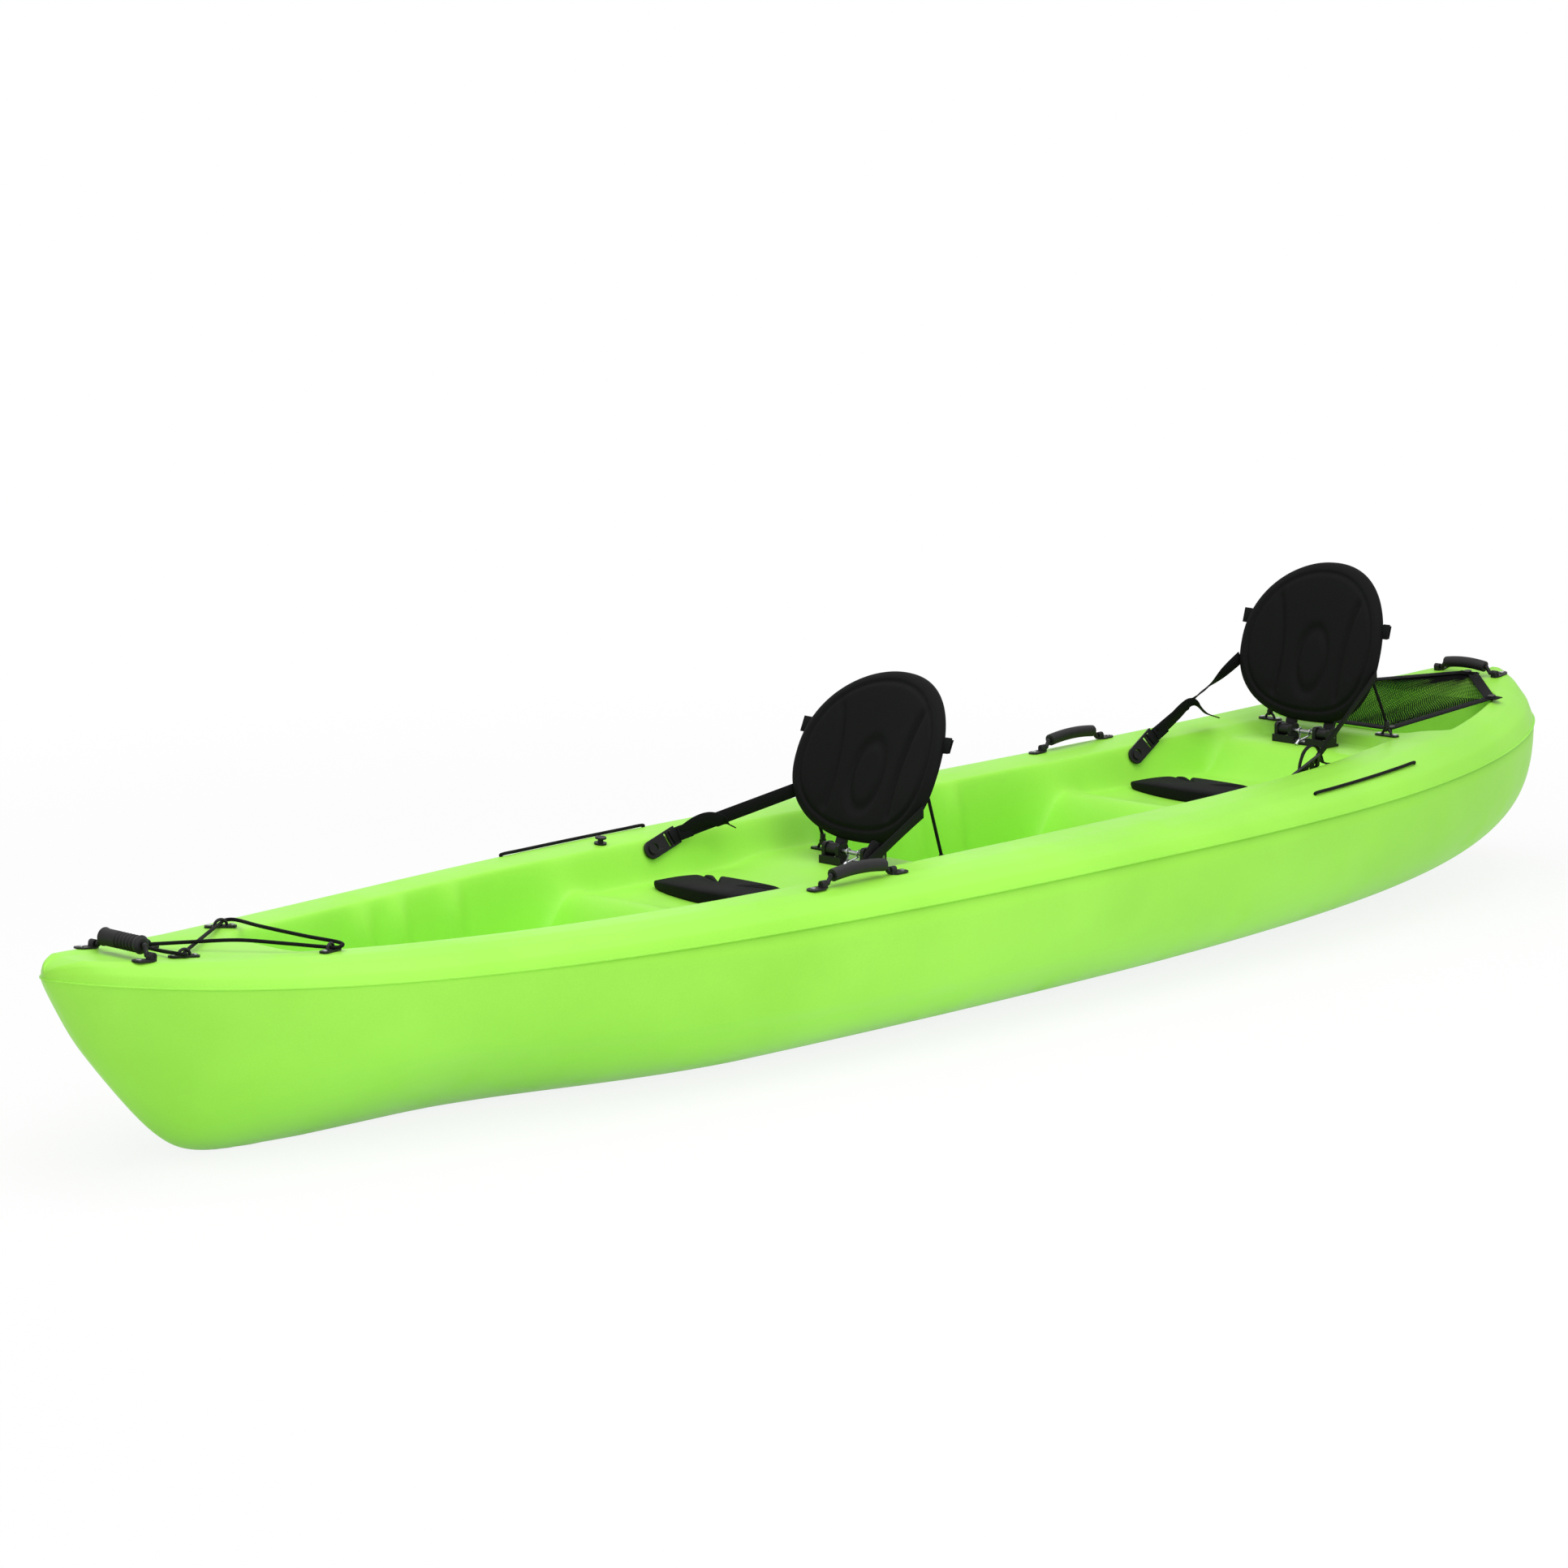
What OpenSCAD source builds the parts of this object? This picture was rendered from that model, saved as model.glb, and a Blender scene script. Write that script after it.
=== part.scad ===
// Sit-on-top tandem kayak with folding backrests, carry handles, deck bungees and a tankwell net.
// +X is the bow, +Y is port, +Z is up, and the hull stands on z = 0.

/* [Hull] */
// Length overall
hull_length = 3660; // [3500:10:4200]
// Greatest breadth, at the parting line
beam = 790; // [740:5:880]
// Height of the parting line amidships
sheer_height = 258; // [240:1:300]
// Rise of the parting line at the bow
bow_rise = 61; // [30:1:90]
// Rise of the parting line at the stern
stern_rise = 65; // [30:1:90]
// Height of the gunwale above the parting line
gunwale_height = 41; // [34:1:56]
// Breadth of the gunwale near the bow
bow_gunwale = 126; // [110:1:140]
// Breadth of the gunwale amidships and aft
aft_gunwale = 161; // [140:1:175]
// Breadth of the gunwale beside the tankwell
tank_gunwale = 86; // [78:1:120]
// Thickness of the moulded walls
hull_wall = 5; // [3:0.5:8]

/* [Wells] */
// Height of the footwell floors
footwell_floor = 100; // [70:1:130]
// Height of the front seat pan
front_pan = 228; // [215:1:232]
// Height of the rear seat pan
rear_pan = 236; // [222:1:245]
// Height of the shelf behind the front seat
front_shelf = 240; // [232:1:260]
// Height of the shelf behind the rear seat
rear_shelf = 300; // [285:1:308]
// Height of the tankwell floor
tankwell_floor = 208; // [180:1:250]
// Run of the sloping well walls
wall_run = 45; // [38:1:60]

/* [Seats] */
// Front backrest hinge, ahead of midships
front_hinge_x = 50; // [20:1:80]
// Distance between the two backrest hinges
seat_pitch = 1290; // [1260:1:1310]
// Lean of the front backrest
front_lean = 24; // [15:1:30]
// Lean of the rear backrest
rear_lean = 16; // [8:1:24]
// Height of a backrest pad
back_height = 315; // [290:1:340]
// Breadth of a backrest pad
back_breadth = 334; // [300:1:350]
// Thickness of a backrest pad in front of its seam
back_thick = 26; // [18:1:32]
// Radius of the backrest's wrap round the sitter
back_wrap = 420; // [350:5:800]
// Breadth of a seat pad
seat_breadth = 320; // [280:1:330]
// Thickness of a seat pad
seat_thick = 26; // [18:1:30]
// Diameter of a backrest hinge pin
pin_d = 8; // [6:0.5:10]
// Breadth of a backrest leg
leg_breadth = 24; // [18:1:28]
// Thickness of a backrest leg
leg_thick = 7; // [5:0.5:9]
// Height of the front strap ends above the hinge
front_strap_height = 88; // [70:1:140]
// Height of the rear strap ends above the hinge
rear_strap_height = 125; // [70:1:140]
// Breadth of the strap webbing
strap_breadth = 25; // [20:1:30]
// Thickness of the strap webbing
strap_thick = 2; // [1.5:0.25:3]

/* [Handles] */
// Distance between the feet of a side handle
side_span = 170; // [150:1:210]
// Distance between the feet of the bow handle
bow_span = 140; // [125:1:144]
// Distance between the feet of the stern handle
stern_span = 140; // [125:1:150]
// Diameter of a side or stern grip
grip_d = 22; // [19:0.5:24]
// Diameter of the bow grip
bow_grip_d = 27; // [23:0.5:28]
// Height of a grip's ends above its pivots
grip_height = 11; // [11:0.5:20]
// Rise of a side or stern grip in its middle
grip_arch = 5; // [3:0.5:8]
// Diameter of a handle bail
bail_d = 8; // [7:0.5:10]
// Diameter of a bail's pivot pins
pivot_d = 5; // [4:0.5:6]

/* [Deck gear] */
// Diameter of the bungee cord
bungee_d = 6; // [4:0.5:8]
// Inner radius of a pad eye
eye_r = 8; // [7:0.5:10]
// Diameter of the bar of a pad eye
eye_bar = 5; // [4:0.5:6]
// Shank diameter of the screws
screw_d = 4.5; // [3.5:0.5:5]
// Breadth of the net's webbing border
border_breadth = 22; // [15:1:28]
// Breadth of a strand of the net
net_strand = 3; // [2:0.25:4]
// Gaps along the net
net_rows = 19; // [8:1:20]
// Gaps across the front of the net
net_columns = 13; // [6:1:14]

/* [Hidden] */
$fn = 32;

lime = [0.62, 0.93, 0.30];
black = [0.09, 0.09, 0.10];
steel = [0.75, 0.76, 0.78];

// Gap left between a fitting and the moulded surface that it sits on
seat_gap = 0.4;
// Running clearance of a pin in its eye, on the radius
running_gap = 0.05;
// Clearance between flat sides that turn past each other
side_gap = 0.5;

half_length = hull_length / 2;
// Where the hull is broadest
widest_x = -160;
// The stem runs down to the keel from this far behind the bow, and the sternpost likewise
stem_back = 230;
sternpost_back = 152;
stem_x = half_length - stem_back;
sternpost_x = half_length - sternpost_back;
stem_slope = 1.25;
stern_slope = 0.53;
stem_round = 76;
stern_round = 175;
// Depth of the flat that the bottom is trimmed to
bottom_trim = 13;
// Powers of the plan curve ahead of and behind the broadest frame
bow_powers = [2.1, 0.62];
stern_powers = [2.7, 0.38];
rise_power = 4.5;
// Powers of the frame curve: amidships, at the bow and at the stern
frame_powers = [3.1, 1.6, 2.5];
// Where the frame curve starts to change towards an end, and over what length
bow_change = [550, 630];
stern_change = [310, 1630];
// The gunwale sinks towards the bow, rises towards the stern and fades out where the hull is narrow
bow_sink = 7;
stern_lift = 26;
rim_fade = 60;
gunwale_fade = 200;
// The gunwale broadens from this place aft, over this length
gunwale_change = [900, 1200];
// Gunwale profile: share of its breadth from outside, then share of its height
gunwale_shape = [[0, 0], [0.1, 0.45], [0.31, 0.82], [0.53, 1], [0.8, 1], [1, 0.93]];
lip_share = 0.93;
// Length of solid plastic in the bow and stern
nose_solid = 20;
// Distance of the end frames from the ends
nose_cut = 1.5;

// Backrest hinges as [x, z], each this far above its shelf
hinge_rise = 24;
front_hinge = [front_hinge_x, front_shelf + hinge_rise];
rear_hinge = [front_hinge_x - seat_pitch, rear_shelf + hinge_rise];
// Distance of the seat pad eyes behind the hinges
eye_behind = 72;

// Smooth steps and ramps
function share(t) = max(0, min(1, t));
function ease(t) = let (u = share(t)) u * u * (3 - 2 * u);
function mix(a, b, t) = a + (b - a) * t;
function soft_ramp(run, round) = (run + sqrt(run * run + round * round)) / 2;
function signed_pow(v, p) = sign(v) * pow(abs(v), p);
function unit(v) = v / norm(v);
function sorted_down(v) = len(v) < 2 ? v :
    let (p = v[floor(len(v) / 2)])
    concat(sorted_down([for (a = v) if (a > p) a]), [p], sorted_down([for (a = v) if (a < p) a]));

// Lines of the hull at a distance x ahead of midships
function bow_part(x) = max(0, x / half_length);
function stern_part(x) = max(0, -x / half_length);
function half_breadth(x) =
    let (ahead = x > widest_x,
         powers = ahead ? bow_powers : stern_powers,
         t = ahead ? (x - widest_x) / (half_length - widest_x) : (widest_x - x) / (half_length + widest_x))
    beam / 2 * pow(max(0, 1 - pow(t, powers[0])), powers[1]);
function sheer(x) = sheer_height
    + bow_rise * pow(bow_part(x), rise_power) + stern_rise * pow(stern_part(x), rise_power);
function rim_height(x) =
    (gunwale_height - bow_sink * pow(bow_part(x), 2) + stern_lift * pow(stern_part(x), 2))
    * min(1, sqrt(half_breadth(x) / rim_fade));
function keel(x) = max(soft_ramp(stem_slope * (x - stem_x), stem_round),
                       soft_ramp(stern_slope * (-x - sternpost_x), stern_round));
function frame_power(x) = frame_powers[0]
    + (frame_powers[1] - frame_powers[0]) * ease((x - bow_change[0]) / bow_change[1])
    + (frame_powers[2] - frame_powers[0]) * ease((-stern_change[0] - x) / stern_change[1]);
function wall(x) = min(hull_wall, half_breadth(x) / 4);

// Well line down the middle of the deck: height of the floor at each named place
function flush(x) = sheer(x) + rim_height(x) * lip_share;
front_x = front_hinge[0];
rear_x = rear_hinge[0];
// Lengths of closed deck ahead of the front footwell and behind the tankwell
foredeck = 410;
aftdeck = 110;
well_fore = half_length - foredeck;
well_aft = aftdeck - half_length;
fore_ramp = 110;
aft_ramp = 75;
// Distances ahead of a hinge: aft end of its footwell, lip of the seat, flat of the pan, front of the shelf
footwell_end = 640;
lip_place = 500;
pan_fore = 430;
pan_aft = 120;
shelf_fore = 40;
// Distances behind a hinge: end of each shelf, start of the rear footwell, strip behind the rear
// shelf, and tankwell
front_shelf_aft = 100;
rear_footwell = 220;
rear_shelf_aft = 40;
strip = [60, 105];
tankwell_fore = 170;
// Rise of a floor towards its upper end, and of the lip above the pan
floor_rise = 5;
lip_rise = 12;
tankwell_rise = 8;
well_line = [
    [well_fore, flush(well_fore)], [well_fore - fore_ramp, footwell_floor + floor_rise],
    [front_x + footwell_end, footwell_floor], [front_x + lip_place, front_pan + lip_rise],
    [front_x + pan_fore, front_pan], [front_x + pan_aft, front_pan],
    [front_x + shelf_fore, front_shelf], [front_x - front_shelf_aft, front_shelf],
    [front_x - rear_footwell, footwell_floor + floor_rise], [rear_x + footwell_end, footwell_floor],
    [rear_x + lip_place, rear_pan + lip_rise], [rear_x + pan_fore, rear_pan], [rear_x + pan_aft, rear_pan],
    [rear_x + shelf_fore, rear_shelf], [rear_x - rear_shelf_aft, rear_shelf],
    [rear_x - strip[0], flush(rear_x - strip[0])], [rear_x - strip[1], flush(rear_x - strip[1])],
    [rear_x - tankwell_fore, tankwell_floor], [well_aft + aft_ramp, tankwell_floor + tankwell_rise],
    [well_aft, flush(well_aft)]
];
well_end = len(well_line) - 1;
function well_floor(x) = x >= well_line[0][0] || x <= well_line[well_end][0] ? flush(x) :
    let (i = max([for (k = [0 : well_end - 1]) if (well_line[k][0] >= x) k]),
         a = well_line[i],
         b = well_line[i + 1])
    mix(a[1], b[1], ease((a[0] - x) / (a[0] - b[0])));

// Behind the rear seat the well broadens to the tankwell, and it closes again before the stern
tank_open = rear_x - strip[1];
tank_close = well_aft - 20;
function tank_share(x) =
    ease((tank_open - x) / (tankwell_fore - strip[1])) * ease((x - tank_close) / aft_ramp);
// Height of the deck anywhere inside the parting line, and distance of the well's lip from that line
function gunwale_breadth(x) = mix(bow_gunwale, aft_gunwale, ease((gunwale_change[0] - x) / gunwale_change[1]))
    * min(1, half_breadth(x) / gunwale_fade);
function lip_in(x) = let (g = gunwale_breadth(x)) mix(g, min(g, tank_gunwale), tank_share(x));
function lip(x) = sheer(x) + rim_height(x) * lookup(lip_in(x) / gunwale_breadth(x), gunwale_shape);
function well_half(x) = half_breadth(x) - lip_in(x);
function run_of_wall(x) = min(wall_run, 0.6 * well_half(x));
function deck_z(x, y) =
    let (inside = well_half(x) - abs(y))
    inside > 0 ? mix(lip(x), well_floor(x), ease(inside / run_of_wall(x))) :
    sheer(x) + rim_height(x) * lookup((half_breadth(x) - abs(y)) / gunwale_breadth(x), gunwale_shape);

// Frames stand closer together near the ends, and at every change of the well line
frame_count = 40;
end_x = half_length - nose_cut;
even_frames = [for (i = [0 : frame_count]) end_x * cos(180 * i / frame_count)];
well_frames = concat([for (k = well_line) k[0]], [for (h = [front_hinge, rear_hinge]) h[0] - eye_behind],
    [rear_x - (strip[1] + tankwell_fore) / 2, well_aft + aft_ramp / 2]);
frames = sorted_down(concat(
    [for (x = even_frames) if (min([for (w = well_frames) abs(w - x)]) > 14) x], well_frames));

// Lower hull frame from starboard over the keel to port, as [y, z]
hull_steps = 8;
function hull_frame(x) =
    let (b = half_breadth(x),
         p = 2 / frame_power(x),
         top = sheer(x) + bottom_trim,
         low = min(keel(x), top - 4))
    [for (i = [-hull_steps : hull_steps])
        let (a = 90 * i / hull_steps)
        [b * signed_pow(sin(a), p),
         abs(i) == hull_steps ? sheer(x)
             : max(0, low + (top - low) * (1 - pow(cos(a), p)) - bottom_trim)]];
// Deck frame from starboard over the wells to port
function deck_places(x) =
    let (b = half_breadth(x), g = lip_in(x), w = well_half(x), r = run_of_wall(x))
    concat([for (s = gunwale_shape) b - s[0] * g],
           [for (s = [0.2, 0.5, 0.8, 1]) w - s * r],
           [for (s = [0.66, 0.33]) s * (w - r)]);
function deck_frame(x) =
    let (ys = deck_places(x), n = len(ys) - 1)
    concat([for (y = ys) [-y, deck_z(x, y)]], [[0, deck_z(x, 0)]],
           [for (i = [n : -1 : 0]) [ys[i], deck_z(x, ys[i])]]);
// The inside of a frame, which closes to a flat chord in the solid nose; way is 1 inside a hull and
// -1 under a deck
function lining(path, x, way) =
    let (n = len(path) - 1, w = wall(x), b = half_breadth(x), z = sheer(x),
         solid = ease((abs(x) - (end_x - nose_solid)) / nose_solid))
    [for (i = [0 : n])
        let (p = path[i],
             t = unit(path[min(n, i + 1)] - path[max(0, i - 1)]),
             q = p + way * w * [-t[1], t[0]],
             chord = [p[0] * (b - w) / b, z])
        i == 0 || i == n ? chord : mix(q, chord, solid)];

// Closed solid through a row of closed rings, with the two ends closed by strips between ring halves
module loft(rings) {
    n = len(rings[0]);
    last = len(rings) - 1;
    sides = [for (i = [0 : last - 1], j = [0 : n - 1])
        let (a = i * n + j, b = i * n + (j + 1) % n, c = a + n, d = b + n)
        each [[a, b, d], [a, d, c]]];
    ends = [for (e = [[0, 0], [last * n, 1]], j = [0 : n / 2 - 2])
        let (a = e[0] + j, b = a + 1, c = e[0] + n - 1 - j, d = c - 1,
             quad = j < n / 4 ? [[a, c, b], [b, c, d]] : [[a, c, d], [a, d, b]])
        each e[1] == 0 ? quad : [for (f = quad) [f[0], f[2], f[1]]]];
    polyhedron([for (r = rings) each r], concat(sides, ends));
}
function shell_ring(path, inner, x) = concat(
    [for (p = path) [x, p[0], p[1]]],
    [for (i = [len(inner) - 1 : -1 : 0]) [x, inner[i][0], inner[i][1]]]);

module hull_shell() {
    color(lime) loft([for (x = frames) let (f = hull_frame(x)) shell_ring(f, lining(f, x, 1), x)]);
}

module deck_shell() {
    color(lime) loft([for (i = [len(frames) - 1 : -1 : 0])
        let (x = frames[i], f = deck_frame(x))
        shell_ring(f, lining(f, x, -1), x)]);
}

// Round or flat-sided tube through a route, as one solid; half sizes across and up are given at each ring
function route_dir(route, i) = unit(route[min(len(route) - 1, i + 1)] - route[max(0, i - 1)]);
function ring_at(p, dir, sides, across, up) =
    let (side = unit(cross(abs(dir[2]) > 0.9 ? [1, 0, 0] : [0, 0, 1], dir)), over = cross(dir, side))
    [for (k = [0 : sides - 1])
        let (a = -360 * (k + 0.5) / sides)
        p + side * across * cos(a) + over * up * sin(a)];
module cord(route, d) {
    loft([for (i = [0 : len(route) - 1]) ring_at(route[i], route_dir(route, i), 8, d / 2, d / 2)]);
}
// Flat webbing lies with its breadth in the vertical plane of its run
module webbing(route) {
    corner = sqrt(2) / 2;
    loft([for (i = [0 : len(route) - 1])
        ring_at(route[i], route_dir(route, i), 4, strap_thick * corner, strap_breadth * corner)]);
}

// Tilt of the deck under a point, as turns about X and Y, and points in that tilted frame
function deck_tilt(x, y) =
    let (sx = (deck_z(x + 8, y) - deck_z(x - 8, y)) / 16, sy = (deck_z(x, y + 8) - deck_z(x, y - 8)) / 16)
    [asin(sy / norm([sx, sy, 1])), atan(-sx)];
function deck_point(x, y, turn, local) =
    let (t = deck_tilt(x, y), a = t[0], b = t[1],
         ax = [cos(b), 0, -sin(b)],
         ay = [sin(b) * sin(a), cos(a), cos(b) * sin(a)],
         px = local[0] * cos(turn) - local[1] * sin(turn),
         py = local[0] * sin(turn) + local[1] * cos(turn))
    [x, y, deck_z(x, y) + seat_gap] + px * ax + py * ay + local[2] * cross(ax, ay);
module on_deck(x, y, turn = 0) {
    t = deck_tilt(x, y);
    translate([x, y, deck_z(x, y) + seat_gap]) rotate([t[0], t[1], 0]) rotate([0, 0, turn]) children();
}
module both_sides() {
    children();
    mirror([0, 1, 0]) children();
}
// Rounded bar outline between two points on the X axis
module slot_outline(x1, x2, r) {
    translate([x1, 0]) circle(r);
    translate([x2, 0]) circle(r);
    translate([x1, -r]) square([x2 - x1, 2 * r]);
}
// Screw standing on a plate of the given thickness, with its shank through the plate into the moulding
screw_head_d = 2 * screw_d;
screw_reach = 12;
module screw(plate) {
    translate([0, 0, plate]) cylinder(d = screw_head_d, h = 2);
    translate([0, 0, plate - screw_reach - 0.5]) cylinder(d = screw_d, h = screw_reach + 1);
}

// Drain plug on the outer slope of the starboard quarter, with its seal
plug_ahead = 185;
plug_x = plug_ahead - half_length;
plug_share = 0.205;
plug_place = [plug_x, plug_share * gunwale_breadth(plug_x) - half_breadth(plug_x)];
plug_d = 34;
plug_head = 6;
plug_shank_d = 18;
plug_shank = 14;
plug_slot = 4;
seal_thick = 1.5;
module drain_plug() {
    color(black) on_deck(plug_place[0], plug_place[1]) difference() {
        union() {
            translate([0, 0, seal_thick]) cylinder(d = plug_d, h = plug_head);
            translate([0, 0, -plug_shank]) cylinder(d = plug_shank_d, h = plug_shank + 2 * seal_thick);
        }
        translate([-plug_d, -plug_slot / 2, seal_thick + plug_head / 2])
            cube([2 * plug_d, plug_slot, plug_head]);
    }
}
module drain_seal() {
    color(black) on_deck(plug_place[0], plug_place[1]) difference() {
        cylinder(d = plug_d - 2, h = seal_thick);
        translate([0, 0, -1]) cylinder(d = plug_shank_d + seat_gap, h = seal_thick + 2);
    }
}

// Backrest hinge: a bracket with four ears, a pin through them, and two legs between the ears
leg_middle = 46;
ear_thick = 8;
ear_r = 13;
bracket_base = 5;
bracket_depth = 40;
// Round of an ear's upper corners
ear_round = 7;
// Low wall along the front of a bracket, open in the middle
front_wall = [6, 14];
wall_open = 14;
leg_half = leg_breadth / 2 + side_gap;
module place_hinge(hinge) {
    translate([hinge[0], 0, hinge[1]]) children();
}
module ear_outline() {
    flat = ear_r - ear_round;
    translate([-ear_r, seat_gap - hinge_rise]) square([2 * ear_r, hinge_rise - seat_gap + flat]);
    translate([-flat, 0]) square([2 * flat, ear_r]);
    for (x = [-flat, flat]) translate([x, flat]) circle(ear_round);
}
module bracket(hinge) {
    reach = leg_middle + leg_half + ear_thick;
    color(black) place_hinge(hinge) difference() {
        union() {
            translate([-bracket_depth / 2, -reach, seat_gap - hinge_rise])
                cube([bracket_depth, 2 * reach, bracket_base]);
            both_sides() {
                for (y = [leg_middle - leg_half, leg_middle + leg_half + ear_thick])
                    translate([0, y, 0]) rotate([90, 0, 0]) linear_extrude(ear_thick) ear_outline();
                translate([bracket_depth / 2 - front_wall[0], wall_open, seat_gap - hinge_rise])
                    cube([front_wall[0], reach - wall_open, front_wall[1]]);
            }
        }
        rotate([-90, 0, 0]) cylinder(d = pin_d, h = 4 * reach, center = true);
        at_bracket_screws() cylinder(d = screw_d, h = 4 * hinge_rise, center = true);
    }
}
// Places of the screws through a bracket's base
module at_bracket_screws() {
    for (x = [-13, 13], y = [-8, 8]) translate([x, y, seat_gap - hinge_rise]) children();
}
// Thickness of the heads of a hinge pin
pin_head = 2;
module hinge_pin(hinge) {
    reach = leg_middle + leg_half + ear_thick;
    color(steel) place_hinge(hinge) rotate([-90, 0, 0]) {
        cylinder(d = pin_d, h = 2 * reach, center = true);
        for (end = [-1, 1])
            translate([0, 0, end * (reach + pin_head / 2)])
                cylinder(d = pin_d + 5, h = pin_head, center = true);
    }
}

// Backrest, in a frame at its hinge with Z up along the lean and X forward
pad_rise = 20;
plate_back = -7;
function lean_point(hinge, lean, p) =
    [hinge[0] + p[0] * cos(lean) - p[2] * sin(lean), p[1], hinge[1] + p[0] * sin(lean) + p[2] * cos(lean)];
function wrap(y) = y * y / (2 * back_wrap);
module lean_back(hinge, lean) {
    translate([hinge[0], 0, hinge[1]]) rotate([0, -lean, 0]) children();
}
frame_top = pad_rise + 0.72 * back_height;
frame_bar = 60;
module frame_outline() {
    for (side = [-1, 1]) translate([side * leg_middle - leg_breadth / 2, 0]) square([leg_breadth, frame_top]);
    for (h = [pad_rise + 0.12 * back_height, frame_top - frame_bar])
        translate([-leg_middle, h]) square([2 * leg_middle, frame_bar]);
}
module backrest_frame(hinge, lean) {
    color(black) lean_back(hinge, lean) difference() {
        union() {
            translate([plate_back - seat_gap - leg_thick, 0, 0]) rotate([90, 0, 90])
                linear_extrude(leg_thick) frame_outline();
            both_sides() translate([0, leg_middle - leg_breadth / 2, 0]) {
                rotate([-90, 0, 0]) cylinder(r = ear_r - 1, h = leg_breadth);
                translate([plate_back - leg_thick - seat_gap, 0, -4]) cube([10, leg_breadth, 16]);
            }
        }
        rotate([-90, 0, 0]) cylinder(d = pin_d + 2 * running_gap, h = 400, center = true);
    }
}
// Pad outline is an egg, broadest below its middle; rings run from the middle to the seam
pad_sides = 44;
pad_rings = [0.14, 0.28, 0.42, 0.54, 0.66, 0.77, 0.86, 0.93, 0.975, 1];
pad_middle = pad_rise + 0.45 * back_height;
function egg(a, r) =
    let (above = sin(a) > 0,
         p = 2 / (above ? 2.05 : 2.5),
         tall = above ? 0.55 * back_height : 0.45 * back_height)
    [r * back_breadth / 2 * signed_pow(cos(a), p), pad_middle + r * tall * signed_pow(sin(a), p)];
// Two long channels run up the pad and an oval one lies between them
function dip(d, breadth) = exp(-pow(d / breadth, 2));
function channels(y, z) =
    let (h = (z - pad_middle) / back_height, oval = norm([y / 34, (h + 0.08) / 0.2]))
    6 * dip(abs(y) - (82 + 36 * h), 9) * ease((0.36 - abs(h)) / 0.08) + 5 * dip((oval - 1) * 34, 8);
function crown(r) = sqrt(max(0, 1 - pow(r, 8)));
function pad_front(a, r) =
    let (e = egg(a, r)) [wrap(e[0]) + back_thick * crown(r) - channels(e[0], e[1]) * crown(r), e[0], e[1]];
function pad_back(a, r) = let (e = egg(a, r)) [wrap(e[0]) + plate_back * crown(r), e[0], e[1]];
module backrest_pad(hinge, lean) {
    n = pad_sides;
    back_rings = [0.95, 0.6];
    rings = concat([for (r = pad_rings) [for (k = [0 : n - 1]) pad_front(360 * k / n, r)]],
                   [for (r = back_rings) [for (k = [0 : n - 1]) pad_back(360 * k / n, r)]]);
    last = len(rings) - 1;
    points = concat([for (r = rings) each r], [pad_front(0, 0), pad_back(0, 0)]);
    front_tip = n * (last + 1);
    faces = concat(
        [for (i = [0 : last - 1], k = [0 : n - 1])
            let (a = i * n + k, b = i * n + (k + 1) % n) each [[a, b, b + n], [a, b + n, a + n]]],
        [for (k = [0 : n - 1]) [front_tip, (k + 1) % n, k]],
        [for (k = [0 : n - 1]) [front_tip + 1, last * n + k, last * n + (k + 1) % n]]);
    color(black) lean_back(hinge, lean) polyhedron(points, faces);
}
// Webbing band across the back of the pad, which ends in a tab at each edge
band_height = pad_rise + 0.6 * back_height;
module back_band(hinge, lean) {
    reach = back_breadth / 2 + 9;
    behind = plate_back - leg_thick - seat_gap * 2 - strap_thick;
    color(black) lean_back(hinge, lean) loft([for (i = [-6 : 6])
        let (y = reach * i / 6, x = mix(behind, wrap(y) - 9, ease((abs(y) - 58) / 60)),
             low = band_height - strap_breadth / 2, high = band_height + strap_breadth / 2)
        [[x, y, low], [x + strap_thick, y, low], [x + strap_thick, y, high], [x, y, high]]]);
}

// Side straps: a hook on a post in the well wall, webbing to the edge of the pad, and a loose tail
anchor_ahead = 284;
anchor_in = 16;
post_d = 10;
hook_length = 74;
hook_rim = 4;
hook_thick = 5;
hook_lift = 3;
strap_off = 2.3;
function anchor_x(hinge) = hinge[0] + anchor_ahead;
function anchor_y(hinge) = well_half(anchor_x(hinge)) - anchor_in;
hook_turn = 197;
function hook_point(hinge, along, up) =
    deck_point(anchor_x(hinge), -anchor_y(hinge), hook_turn, [along, 0, up]);
// Half breadth of the pad at a height below its broadest place
function pad_half(height) =
    back_breadth / 2 * pow(1 - pow(max(0, pad_middle - height) / (0.45 * back_height), 2.5), 0.4);
function strap_end(hinge, lean, height) =
    let (y = pad_half(height))
    lean_point(hinge, lean, [wrap(y), -y - strap_thick / 2 - seat_gap / 2, height]);
module strap(hinge, lean, height) {
    start = hook_point(hinge, hook_length - 2, hook_lift + hook_thick + strap_off);
    finish = strap_end(hinge, lean, height);
    color(black) {
        webbing([start, mix(start, finish, 0.3), mix(start, finish, 0.7), finish]);
        webbing([mix(start, finish, 0.08) + [0, strap_thick / 2, 0], mix(start, finish, 0.2) + [0, 9, 10],
                 mix(start, finish, 0.32) + [0, 16, -2], mix(start, finish, 0.4) + [0, 22, -18]]);
    }
}
module port_strap(hinge, lean, height) {
    mirror([0, 1, 0]) strap(hinge, lean, height);
}
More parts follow.
